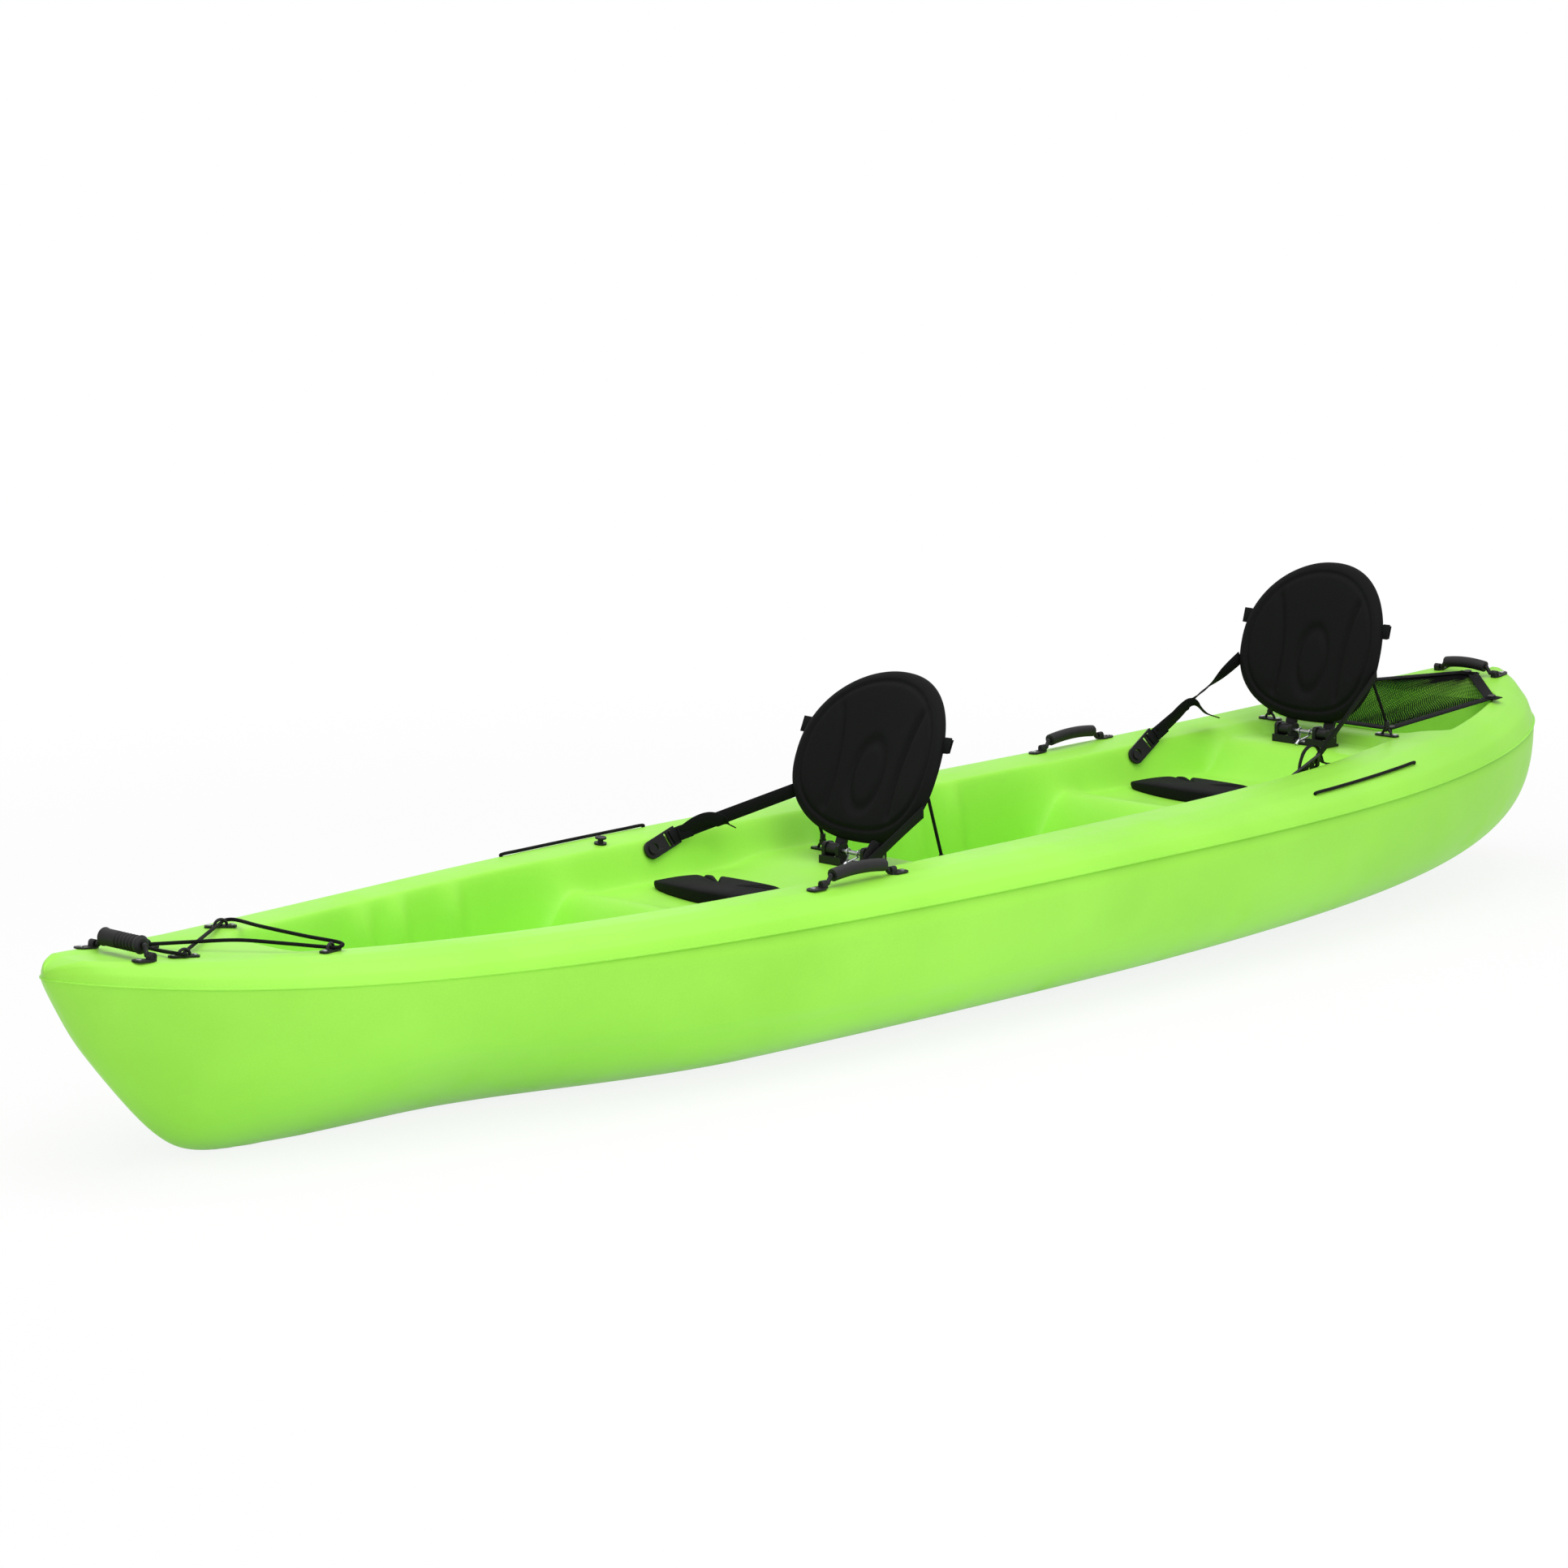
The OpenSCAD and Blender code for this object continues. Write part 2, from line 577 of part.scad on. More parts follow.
module strap_hook(hinge) {
    on_deck(anchor_x(hinge), -anchor_y(hinge), hook_turn) translate([0, 0, hook_lift])
    linear_extrude(hook_thick) difference() {
        union() {
            slot_outline(0, hook_length / 2, strap_breadth / 2 + hook_rim);
            translate([hook_length / 4, -strap_breadth / 2 - hook_rim])
                square([hook_length * 3 / 4, strap_breadth + 2 * hook_rim]);
        }
        circle(d = post_d + 4);
        translate([9, 0]) circle(d = post_d + 6);
        for (back = [32, 16]) translate([hook_length - back, -strap_breadth / 2]) square([8, strap_breadth]);
    }
}
module anchor_post(hinge) {
    on_deck(anchor_x(hinge), -anchor_y(hinge)) {
        translate([0, 0, -6]) cylinder(d = post_d, h = 6 + hook_lift + hook_thick + 2);
        translate([0, 0, hook_lift + hook_thick + seat_gap]) cylinder(d = post_d + 8, h = 3);
    }
}
module strap_hooks(hinge) {
    color(black) both_sides() strap_hook(hinge);
}
module anchor_posts() {
    color(black) both_sides() for (hinge = [front_hinge, rear_hinge]) anchor_post(hinge);
}

// Bungees from the lower edge of each pad to pad eyes on the shelf behind it
bungee_out = 148;
bungee_back = 8.5;
bungee_share = 0.3;
// The seat pad eyes stand this far inside the edge of the well by the rear shelf
eye_in = 28;
eye_out = well_half(rear_x - eye_behind) - eye_in;
eye_plate = 3;
// The arch of a pad eye springs from this height, inside its plate
eye_sink = eye_plate - 1;
// A bungee hook rests on the top of an arch at this height
hook_seat = eye_sink + eye_r + eye_bar + seat_gap;
module back_bungees(hinge, lean) {
    height = pad_rise + bungee_share * back_height;
    top = lean_point(hinge, lean, [wrap(bungee_out) - bungee_back, bungee_out, height]);
    low = deck_point(hinge[0] - eye_behind, eye_out, 0, [0, 0, hook_seat + 10]);
    color(black) both_sides() cord([top, mix(top, low, 0.5), low], bungee_d);
}
module bungee_hooks(hinge) {
    slot = eye_bar + 2 * seat_gap;
    color(black) both_sides() on_deck(hinge[0] - eye_behind, eye_out, 90) translate([0, 0, hook_seat]) {
        translate([0, 0, 3]) cylinder(d = bungee_d + 4, h = 11);
        difference() {
            translate([-3, -slot / 2 - 3, -6]) cube([6, slot + 6, 10]);
            translate([-4, -slot / 2, -7]) cube([8, slot, 7]);
        }
    }
}
// Spring hook that hangs on the middle of the pin and lies forward over the bracket
snap_bar = 4;
snap_r = 7;
snap_swing = 60;
module snap_hook(hinge) {
    ring_r = pin_d / 2 + snap_bar / 2 + 1;
    color(steel) place_hinge(hinge) rotate([0, -snap_swing, 0])
    translate([0, 0, seat_gap - 1]) rotate([90, 0, 0]) {
        rotate_extrude() translate([ring_r, 0]) circle(d = snap_bar);
        translate([0, -ring_r - snap_r, 0])
            rotate_extrude() translate([snap_r, 0]) circle(d = snap_bar - 0.5);
    }
}

// Seat pad: a leaf drawn out to the sides, with a thick edge and two notches in each half of its back
seat_ahead = 335;
leaf_fore = 48;
leaf_aft = 76;
// Share of the thickness at the edge
leaf_edge = 0.75;
leaf_sides = 48;
leaf_rings = [0.2, 0.4, 0.6, 0.78, 0.9, 0.97, 1];
function notch(a) = max([for (c = [142.5, 157.5]) dip(abs(a) - c, 4)]);
function leaf(k, r, half) =
    let (a = 360 * k / leaf_sides - 180, ahead = abs(a) < 90, p = 2 / (ahead ? 1.5 : 2.8),
         size = r * (1 - 0.07 * notch(a) * r * r))
    [size * (ahead ? leaf_fore : leaf_aft) * signed_pow(cos(a), p), size * half * signed_pow(sin(a), p),
     seat_thick * mix(leaf_edge, 1, pow(1 - pow(r, 6), 0.5)) * (1 - 0.3 * notch(a) * ease((r - 0.3) / 0.3))];
module seat_pad(hinge) {
    n = leaf_sides;
    x = hinge[0] + seat_ahead;
    half = min(seat_breadth / 2, well_half(x - leaf_aft / 2) - wall_run - 2);
    rings = concat([for (r = leaf_rings) [for (k = [0 : n - 1]) leaf(k, r, half)]],
                   [[for (k = [0 : n - 1]) let (p = leaf(k, 1, half)) [p[0], p[1], 0]]]);
    last = len(rings) - 1;
    tip = n * (last + 1);
    points = concat([for (r = rings) each r], [[0, 0, seat_thick], [0, 0, 0]]);
    faces = concat(
        [for (i = [0 : last - 1], k = [0 : n - 1])
            let (a = i * n + k, b = i * n + (k + 1) % n) each [[a, b + n, b], [a, a + n, b + n]]],
        [for (k = [0 : n - 1]) [tip, k, (k + 1) % n]],
        [for (k = [0 : n - 1]) [tip + 1, last * n + (k + 1) % n, last * n + k]]);
    color(black) translate([x, 0, well_floor(x) + seat_gap])
        polyhedron(points, [for (f = faces) [f[0], f[2], f[1]]]);
}

// Screws through each bracket into the shelf
module bracket_screws() {
    color(steel) for (hinge = [front_hinge, rear_hinge])
        place_hinge(hinge) at_bracket_screws() screw(bracket_base);
}

// Pad eye: a plate for two screws with an arched bar
eye_plate_r = 8;
eye_screw_x = eye_r + eye_bar + 6;
module pad_eye() {
    linear_extrude(eye_plate) difference() {
        slot_outline(-eye_screw_x, eye_screw_x, eye_plate_r);
        for (x = [-eye_screw_x, eye_screw_x]) translate([x, 0]) circle(d = screw_d);
    }
    translate([0, 0, eye_sink]) rotate([90, 0, 0])
        rotate_extrude(angle = 180) translate([eye_r + eye_bar / 2, 0]) circle(d = eye_bar);
}
module eye_screws() {
    for (x = [-eye_screw_x, eye_screw_x]) translate([x, 0, 0]) screw(eye_plate);
}
module each_seat_eye() {
    both_sides() for (hinge = [front_hinge, rear_hinge])
        on_deck(hinge[0] - eye_behind, eye_out, 90) children();
}
module seat_pad_eyes() {
    color(black) each_seat_eye() pad_eye();
}
module seat_eye_screws() {
    color(steel) each_seat_eye() eye_screws();
}
// Bow pad eyes, each so far behind the bow and off the middle, and the bungee laced through them
fore_eye_back = 230;
fore_eye_out = 46;
aft_eye_back = 450;
aft_eye_out = 132;
fore_eye_turn = -10;
aft_eye_turn = 20;
fore_eye = [half_length - fore_eye_back, fore_eye_out];
aft_eye = [half_length - aft_eye_back, aft_eye_out];
module each_bow_eye() {
    both_sides() {
        on_deck(fore_eye[0], fore_eye[1], fore_eye_turn) children();
        on_deck(aft_eye[0], aft_eye[1], aft_eye_turn) children();
    }
}
module bow_pad_eyes() {
    color(black) each_bow_eye() pad_eye();
}
module bow_eye_screws() {
    color(steel) each_bow_eye() eye_screws();
}
function eye_mid(eye, side, up) = deck_point(eye[0], side * eye[1], 0, [0, 0, eye_plate + bungee_d / 2 + up]);
module bow_bungee() {
    fore_port = eye_mid(fore_eye, 1, seat_gap);
    fore_star = eye_mid(fore_eye, -1, seat_gap);
    aft_port = eye_mid(aft_eye, 1, seat_gap);
    aft_star = eye_mid(aft_eye, -1, seat_gap);
    out = [0, 9, 0];
    color(black) cord([
        fore_star - out + [-4, 0, 0], fore_star, mix(fore_star, aft_port, 0.25) + [0, 0, 5],
        mix(fore_star, aft_port, 0.5) + [0, 0, 9], mix(fore_star, aft_port, 0.75) + [0, 0, 5],
        aft_port, aft_port + out + [-14, 0, 1], aft_port + [-24, -8, 3],
        mix(aft_port, aft_star, 0.3) + [-16, 0, 4], mix(aft_port, aft_star, 0.7) + [-16, 0, 4],
        aft_star + [-24, 8, 3], aft_star - out + [-14, 0, 1], aft_star,
        mix(aft_star, fore_port, 0.25) + [0, 0, 1], mix(aft_star, fore_port, 0.5) + [0, 0, 1],
        mix(aft_star, fore_port, 0.75) + [0, 0, 1], fore_port, fore_port + [4, 10, 0],
        fore_port + [14, 15, 2], fore_port + [25, 9, 5], mix(fore_port, fore_star, 0.25) + [23, 0, 3],
        mix(fore_port, fore_star, 0.75) + [23, 0, 3], fore_star + [25, -9, 5], fore_star + [14, -15, 2]],
        bungee_d);
}

// Paddle keepers: cords along the outer slope of a gunwale, with both ends through the moulding
port_keeper_in = 0.27;
starboard_keeper_in = 0.5;
function keeper_point(x, side, in, up) =
    let (y = side * (half_breadth(x) - in * gunwale_breadth(x)))
    deck_point(x, y, 0, [0, 0, bungee_d / 2 + up]);
module keeper(x1, x2, side, in) {
    color(black) cord(concat(
        [keeper_point(x1 + 9, side, in, -14)], [keeper_point(x1 + 3, side, in, -4)],
        [for (s = [0 : 0.125 : 1]) keeper_point(mix(x1, x2, s), side, in, 0.6)],
        [keeper_point(x2 - 3, side, in, -4)], [keeper_point(x2 - 9, side, in, -14)]), bungee_d);
}
// Ends of the keepers, as distances ahead of a hinge
port_keeper_fore = 405;
port_keeper_aft = 68;
starboard_keeper_fore = 570;
starboard_keeper_aft = 215;
module port_paddle_keeper() {
    keeper(rear_x + port_keeper_fore, rear_x + port_keeper_aft, 1, port_keeper_in);
}
module starboard_paddle_keeper() {
    keeper(front_x + starboard_keeper_fore, front_x + starboard_keeper_aft, -1, starboard_keeper_in);
}
hook_foot_d = 22;
hook_neck_d = 10;
hook_head_d = 20;
hook_height = 13;
hook_plate = 3;
hook_ahead = 375;
hook_out = 16;
module paddle_hook() {
    x = front_x + hook_ahead;
    color(black) on_deck(x, -well_half(x) - hook_out) {
        translate([0, 0, -screw_reach]) cylinder(d = screw_d, h = screw_reach + 1);
        cylinder(d = hook_foot_d, h = hook_plate);
        cylinder(d = hook_neck_d, h = hook_height - 1);
        translate([0, 0, hook_height - hook_plate]) cylinder(d = hook_head_d, h = hook_plate);
    }
}

// Carry handle: two feet with eyes, a bail that pivots in them and a grip on the bail
foot_thick = 2.5;
foot_reach = 24;
// Round knuckles at the bends of a bail are a little thicker than the bail
knuckle_d = bail_d + 1;
pivot_rise = foot_thick + side_gap + knuckle_d / 2;
eye_length = 12;
lug_r = pivot_d / 2 + 3.5;
module foot(turn) {
    difference() {
        union() {
            rotate([0, 0, turn]) linear_extrude(foot_thick) slot_outline(6, foot_reach, 11);
            translate([-eye_length / 2, 0, pivot_rise]) rotate([0, 90, 0])
                cylinder(r = lug_r, h = eye_length);
            translate([-eye_length / 2, -lug_r, 0]) cube([eye_length, 2 * lug_r, pivot_rise]);
        }
        translate([-20, 0, pivot_rise]) rotate([0, 90, 0])
            cylinder(d = pivot_d + 2 * running_gap, h = 40);
        rotate([0, 0, turn]) translate([foot_reach, 0, -1]) cylinder(d = screw_d, h = foot_thick + 2);
    }
}
module foot_screw(turn) {
    rotate([0, 0, turn]) translate([foot_reach, 0, 0]) screw(foot_thick);
}
module at_feet(span) {
    translate([span / 2, 0, 0]) children();
    mirror([1, 0, 0]) translate([span / 2, 0, 0]) children();
}
// Bar between two points of the handle's upright plane, as [x, z]
module plane_bar(p, q, d) {
    run = q - p;
    translate([p[0], 0, p[1]]) rotate([0, 90 - atan2(run[1], run[0]), 0]) cylinder(d = d, h = norm(run));
}
// Half length of a bail between its arms, and of the grip on it
arm_run = 8;
function bail_half(span) = span / 2 - eye_length / 2 - knuckle_d / 2 - side_gap;
// Arc of a grip from one end of its bail to the other, which rises in the middle
function arch_r(span) =
    let (end = bail_half(span) - arm_run)
    (end * end + grip_arch * grip_arch) / (2 * grip_arch);
module arch(span, fore, aft) {
    r = arch_r(span);
    from = asin(fore / r);
    to = asin(aft / r);
    translate([0, 0, pivot_rise + grip_height + grip_arch - r]) rotate([90, 0, 0]) rotate([0, 0, 90 - from])
        rotate_extrude(angle = from - to, $fn = 240) translate([r, 0]) children();
}
module bail(span, height, arched) {
    inner = bail_half(span);
    top = pivot_rise + height;
    grip_end = inner - arm_run;
    at_feet(0) {
        translate([inner, 0, pivot_rise]) rotate([0, 90, 0]) cylinder(d = pivot_d, h = eye_length + 4);
        translate([inner, 0, pivot_rise]) sphere(d = knuckle_d);
        plane_bar([inner, pivot_rise], [grip_end, top], bail_d);
        translate([grip_end, 0, top]) sphere(d = knuckle_d);
    }
    if (arched) arch(span, grip_end, -grip_end) circle(d = bail_d, $fn = 32);
    else translate([-grip_end, 0, top]) rotate([0, 90, 0]) cylinder(d = bail_d, h = 2 * grip_end);
}
// Distance from the end of a bail to its grip
grip_in = 3;
module grip(span) {
    half = bail_half(span) - arm_run - grip_in;
    arch(span, half, -half) difference() {
        circle(d = grip_d, $fn = 32);
        circle(d = bail_d, $fn = 32);
    }
}
// The bow grip is straight, and ribbed over its outer half
rib_count = 6;
bow_height = grip_height + (bow_grip_d - grip_d) / 2;
module ribbed_grip(span) {
    half = bail_half(span) - arm_run - grip_in;
    r = bow_grip_d / 2;
    flare = 1.5;
    ribs = [for (i = [0 : rib_count - 1])
        let (x = half - 10 - half * i / rib_count, w = half / rib_count)
        each [[r, x], [r - 3, x - w * 0.2], [r - 3, x - w * 0.5], [r, x - w * 0.7]]];
    translate([0, 0, pivot_rise + bow_height]) rotate([0, 90, 0]) rotate_extrude()
        polygon(concat([[bail_d / 2, half], [r - 4, half], [r + flare, half - 4], [r, half - 9]], ribs,
            [[r, 9 - half], [r + flare, 4 - half], [r - 4, -half], [bail_d / 2, -half]]));
}
// Middles of the handles: behind the bow, ahead of the stern, and ahead of a hinge
bow_handle_back = 147;
stern_handle_ahead = 62;
port_handle_ahead = 312;
starboard_handle_ahead = 365;
bow_handle_x = half_length - bow_handle_back;
stern_handle_x = stern_handle_ahead - half_length;
port_handle_x = front_x + port_handle_ahead;
starboard_handle_x = rear_x + starboard_handle_ahead;
// Share of the gunwale's breadth that lies outside a side handle
handle_share = 0.575;
module at_bow_handle() {
    on_deck(bow_handle_x, 0, 90) translate([0, 0, rim_height(bow_handle_x) * (1 - lip_share)]) children();
}
module at_stern_handle() {
    on_deck(stern_handle_x, 0, 90) translate([0, 0, rim_height(stern_handle_x) * (1 - lip_share)]) children();
}
// Side handles stand on a line between the far ends of their two feet
module at_side_handle(x, side) {
    y = side * (half_breadth(x) - handle_share * gunwale_breadth(x));
    reach = side_span / 2 + foot_reach;
    fore = deck_z(x + reach, y);
    aft = deck_z(x - reach, y);
    translate([x, y, mix(fore, aft, 0.5) + 2 * seat_gap])
        rotate([deck_tilt(x, y)[0], atan2(aft - fore, 2 * reach), 0]) children();
}
module at_port_handle() {
    at_side_handle(port_handle_x, 1) children();
}
module at_starboard_handle() {
    at_side_handle(starboard_handle_x, -1) children();
}
module bow_handle_feet() {
    color(black) at_bow_handle() at_feet(bow_span) foot(-90);
}
module bow_handle_bail() {
    color(black) at_bow_handle() bail(bow_span, bow_height, false);
}
module bow_handle_grip() {
    color(black) at_bow_handle() ribbed_grip(bow_span);
}
module stern_handle_feet() {
    color(black) at_stern_handle() at_feet(stern_span) foot(90);
}
module stern_handle_bail() {
    color(black) at_stern_handle() bail(stern_span, grip_height, true);
}
module stern_handle_grip() {
    color(black) at_stern_handle() grip(stern_span);
}
module port_handle_feet() {
    color(black) at_port_handle() at_feet(side_span) foot(0);
}
module port_handle_bail() {
    color(black) at_port_handle() bail(side_span, grip_height, true);
}
module port_handle_grip() {
    color(black) at_port_handle() grip(side_span);
}
module starboard_handle_feet() {
    color(black) at_starboard_handle() at_feet(side_span) foot(0);
}
module starboard_handle_bail() {
    color(black) at_starboard_handle() bail(side_span, grip_height, true);
}
module starboard_handle_grip() {
    color(black) at_starboard_handle() grip(side_span);
}
module handle_screws() {
    color(steel) {
        at_bow_handle() at_feet(bow_span) foot_screw(-90);
        at_stern_handle() at_feet(stern_span) foot_screw(90);
        at_port_handle() at_feet(side_span) foot_screw(0);
        at_starboard_handle() at_feet(side_span) foot_screw(0);
    }
}

// Tankwell net in its webbing border: it spreads from the rear shelf to the sides of the tankwell, narrows
// to the stern, and is held by a button at each of its five corners
net_behind = 100;
net_fore_in = 14;
net_side_ahead = 90;
net_ahead = 48;
net_aft_out = 18;
net_fore = [rear_x - net_behind, eye_out - net_fore_in];
net_aft = [net_ahead - half_length, net_aft_out];
net_thick = 1.2;
net_drop = 2;
net_lift = 3;
corner_r = 14;
button_in = 10;
button_d = 16;
button_thick = 4;
function net_rest(p) = deck_z(p[0], p[1]) + net_lift;
net_rise = net_rest([net_aft[0], 0]) - net_rest(net_fore);
net_tilt = atan2(net_rise, net_fore[0] - net_aft[0]);
net_run = norm([net_fore[0] - net_aft[0], net_rise]);
// The side corners lie on the inner edge of the gunwale, at this distance along the net and off its middle
net_side_x = well_aft + net_side_ahead;
net_side = [(net_fore[0] - net_side_x) / cos(net_tilt), well_half(net_side_x) + button_in];
// Slopes of the side and stern edges, and the outline moved in from its edges
net_slopes = [(net_side[1] - net_fore[1]) / net_side[0],
    (net_aft[1] - net_side[1]) / (net_run - net_side[0])];
function edge_in(k, inset) = inset * norm([1, net_slopes[k]]);
function net_half(u, inset) = min(net_fore[1] + net_slopes[0] * u - edge_in(0, inset),
                                  net_aft[1] - net_slopes[1] * (net_run - u) - edge_in(1, inset));
function net_turn(inset) = net_side[0]
    + (edge_in(1, inset) - edge_in(0, inset)) / (net_slopes[1] - net_slopes[0]);
// Places of the port buttons and of the stern one in the plane of the net
port_buttons = [[-button_in, net_fore[1] - button_in / 2], [-net_side[0], net_side[1] - button_in]];
stern_button = [button_in - net_run, 0];
module net_plane() {
    translate([net_fore[0], 0, net_rest(net_fore)]) rotate([0, net_tilt, 0]) children();
}
module net_outline(inset) {
    half = [for (u = [inset, net_turn(inset), net_run - inset]) [-u, net_half(u, inset)]];
    polygon(concat(half, [for (i = [2 : -1 : 0]) [half[i][0], -half[i][1]]]));
}
module tankwell_net() {
    inside = border_breadth - 6;
    pitch_x = (net_run - 2 * inside) / net_rows;
    pitch_y = 2 * net_side[1] / net_columns;
    color(black) net_plane() translate([0, 0, -net_thick]) linear_extrude(net_thick) difference() {
        net_outline(inside);
        for (i = [0 : net_rows - 1])
            let (u = inside + pitch_x * i, far = min(net_half(u, inside), net_half(u + pitch_x, inside)))
            for (j = [0 : net_columns - 1])
                let (y = pitch_y * (j + 0.5 - net_columns / 2))
                if (abs(y) + pitch_y / 2 < far)
                    translate([net_strand / 2 - u - pitch_x, y - pitch_y / 2 + net_strand / 2])
                        square([pitch_x - net_strand, pitch_y - net_strand]);
    }
}
module at_buttons() {
    both_sides() for (p = port_buttons) translate(p) children();
    translate(stern_button) children();
}
module net_border() {
    color(black) net_plane() linear_extrude(net_drop) difference() {
        union() {
            net_outline(0);
            at_buttons() circle(corner_r);
        }
        net_outline(border_breadth);
        at_buttons() circle(d = screw_d);
    }
}
module net_buttons() {
    color(black) net_plane() at_buttons() translate([0, 0, net_drop]) {
        cylinder(d = button_d, h = button_thick);
        translate([0, 0, -net_drop - screw_reach]) cylinder(d = screw_d, h = net_drop + screw_reach + 1);
    }
}

hull_shell();
deck_shell();
drain_plug();
drain_seal();
bracket(front_hinge);  // front_bracket
hinge_pin(front_hinge);  // front_hinge_pin
backrest_frame(front_hinge, front_lean);  // front_backrest_frame
backrest_pad(front_hinge, front_lean);  // front_backrest_pad
back_band(front_hinge, front_lean);  // front_back_band
port_strap(front_hinge, front_lean, front_strap_height);  // front_port_strap
strap(front_hinge, front_lean, front_strap_height);  // front_starboard_strap
strap_hooks(front_hinge);  // front_strap_hooks
back_bungees(front_hinge, front_lean);  // front_back_bungees
bungee_hooks(front_hinge);  // front_bungee_hooks
snap_hook(front_hinge);  // front_snap_hook
seat_pad(front_hinge);  // front_seat_pad
bracket(rear_hinge);  // rear_bracket
hinge_pin(rear_hinge);  // rear_hinge_pin
backrest_frame(rear_hinge, rear_lean);  // rear_backrest_frame
backrest_pad(rear_hinge, rear_lean);  // rear_backrest_pad
back_band(rear_hinge, rear_lean);  // rear_back_band
port_strap(rear_hinge, rear_lean, rear_strap_height);  // rear_port_strap
strap(rear_hinge, rear_lean, rear_strap_height);  // rear_starboard_strap
strap_hooks(rear_hinge);  // rear_strap_hooks
back_bungees(rear_hinge, rear_lean);  // rear_back_bungees
bungee_hooks(rear_hinge);  // rear_bungee_hooks
snap_hook(rear_hinge);  // rear_snap_hook
seat_pad(rear_hinge);  // rear_seat_pad
anchor_posts();
bracket_screws();
seat_pad_eyes();
seat_eye_screws();
bow_handle_feet();
bow_handle_bail();
bow_handle_grip();
stern_handle_feet();
stern_handle_bail();
stern_handle_grip();
port_handle_feet();
port_handle_bail();
port_handle_grip();
starboard_handle_feet();
starboard_handle_bail();
starboard_handle_grip();
handle_screws();
bow_pad_eyes();
bow_eye_screws();
bow_bungee();
port_paddle_keeper();
starboard_paddle_keeper();
paddle_hook();
tankwell_net();
net_border();
net_buttons();
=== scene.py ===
import math
import bmesh
import bpy
import numpy as np
from mathutils import Matrix, Vector


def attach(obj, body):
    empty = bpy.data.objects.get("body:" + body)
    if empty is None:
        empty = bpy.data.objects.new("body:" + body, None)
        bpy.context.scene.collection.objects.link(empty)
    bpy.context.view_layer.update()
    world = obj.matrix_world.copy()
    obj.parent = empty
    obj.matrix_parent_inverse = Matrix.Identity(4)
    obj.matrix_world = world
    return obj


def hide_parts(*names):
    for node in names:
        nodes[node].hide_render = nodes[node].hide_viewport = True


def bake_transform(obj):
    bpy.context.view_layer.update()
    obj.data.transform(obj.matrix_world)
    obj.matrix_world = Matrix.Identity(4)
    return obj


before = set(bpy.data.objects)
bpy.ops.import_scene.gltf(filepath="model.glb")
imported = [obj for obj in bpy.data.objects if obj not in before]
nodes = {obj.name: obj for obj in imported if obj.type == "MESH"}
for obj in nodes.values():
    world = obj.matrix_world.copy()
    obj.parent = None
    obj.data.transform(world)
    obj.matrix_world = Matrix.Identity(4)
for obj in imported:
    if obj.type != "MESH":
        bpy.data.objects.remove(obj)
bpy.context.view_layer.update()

# Lower hull: a rotomoulded polyethylene shell from the keel up to the parting line, lime all through.
# Its frames are nearly square amidships and sharpen to the bow, and the bottom has a flat to stand on.
# The two mouldings meet in a thin bead of flash along the parting line.
half_length, half_beam, widest_x = 1.830, 0.395, -0.160
bow_plan, stern_plan = (2.1, 0.62), (2.7, 0.38)
mid_sheer, bow_sheer, stern_sheer, sheer_power = 0.258, 0.061, 0.065, 4.5
bow_lift_x, bow_lift, bow_round = 1.600, 1.25, 0.076
stern_lift_x, stern_lift, stern_round = 1.678, 0.53, 0.175
stem_slope, stem_round, stem_depth = 1.75, 0.006, 0.004
bottom_trim, moulding_wall = 0.013, 0.005


def ease(t):
    t = min(1.0, max(0.0, t))
    return t * t * (3 - 2 * t)


def mix(a, b, t):
    return a + (b - a) * t


def half_breadth(x):
    ahead = x > widest_x
    end = half_length if ahead else -half_length
    full, blunt = bow_plan if ahead else stern_plan
    t = (x - widest_x) / (end - widest_x)
    return half_beam * max(0.0, 1 - t ** full) ** blunt


def end_shares(x):
    """How far a station lies towards the bow and towards the stern, from 0 to 1."""
    return max(0.0, x / half_length), max(0.0, -x / half_length)


def sheer(x):
    bow, stern = end_shares(x)
    return mid_sheer + bow_sheer * bow ** sheer_power + stern_sheer * stern ** sheer_power


def soft_ramp(run, rounding):
    """A ramp that starts from level in a rounded curve."""
    return (run + math.hypot(run, rounding)) / 2


def keel(x):
    curve = max(soft_ramp(bow_lift * (x - bow_lift_x), bow_round),
                soft_ramp(stern_lift * (-x - stern_lift_x), stern_round))
    stem = sheer(half_length) + bottom_trim - stem_depth - stem_slope * (half_length - x)
    return curve + soft_ramp(stem - curve, stem_round) if x > bow_lift_x else curve


frame_steps, frame_square = 36, 3.1
bow_sharper, bow_sharp_x, bow_sharp_run = 1.5, 0.55, 0.63
stern_sharper, stern_sharp_x, stern_sharp_run = 0.6, -0.31, 1.63
chine_depth, chine_height, chine_rise, chine_run, chine_end_x = 0.018, 0.10, 0.022, 0.014, -0.5


def hull_frame(x):
    """Half sections to both sides of the keel as one ring, with a soft chine that fades out aft."""
    bow_share = ease((x - bow_sharp_x) / bow_sharp_run)
    stern_share = ease((stern_sharp_x - x) / stern_sharp_run)
    power = 2 / (frame_square - bow_sharper * bow_share - stern_sharper * stern_share)
    top = sheer(x) + bottom_trim
    low = min(keel(x), top - stem_depth)
    chine = chine_depth * ease(x - chine_end_x)
    ring = []
    for i in range(-frame_steps, frame_steps + 1):
        a = math.pi / 2 * i / frame_steps
        y = half_breadth(x) * math.copysign(abs(math.sin(a)) ** power, a)
        z = max(0.0, low + (top - low) * (1 - max(0.0, math.cos(a)) ** power) - bottom_trim)
        under = ease((chine_height + chine_rise * x - z) / chine_run)
        ring.append((x, y * (1 - chine * under), z))
    return ring


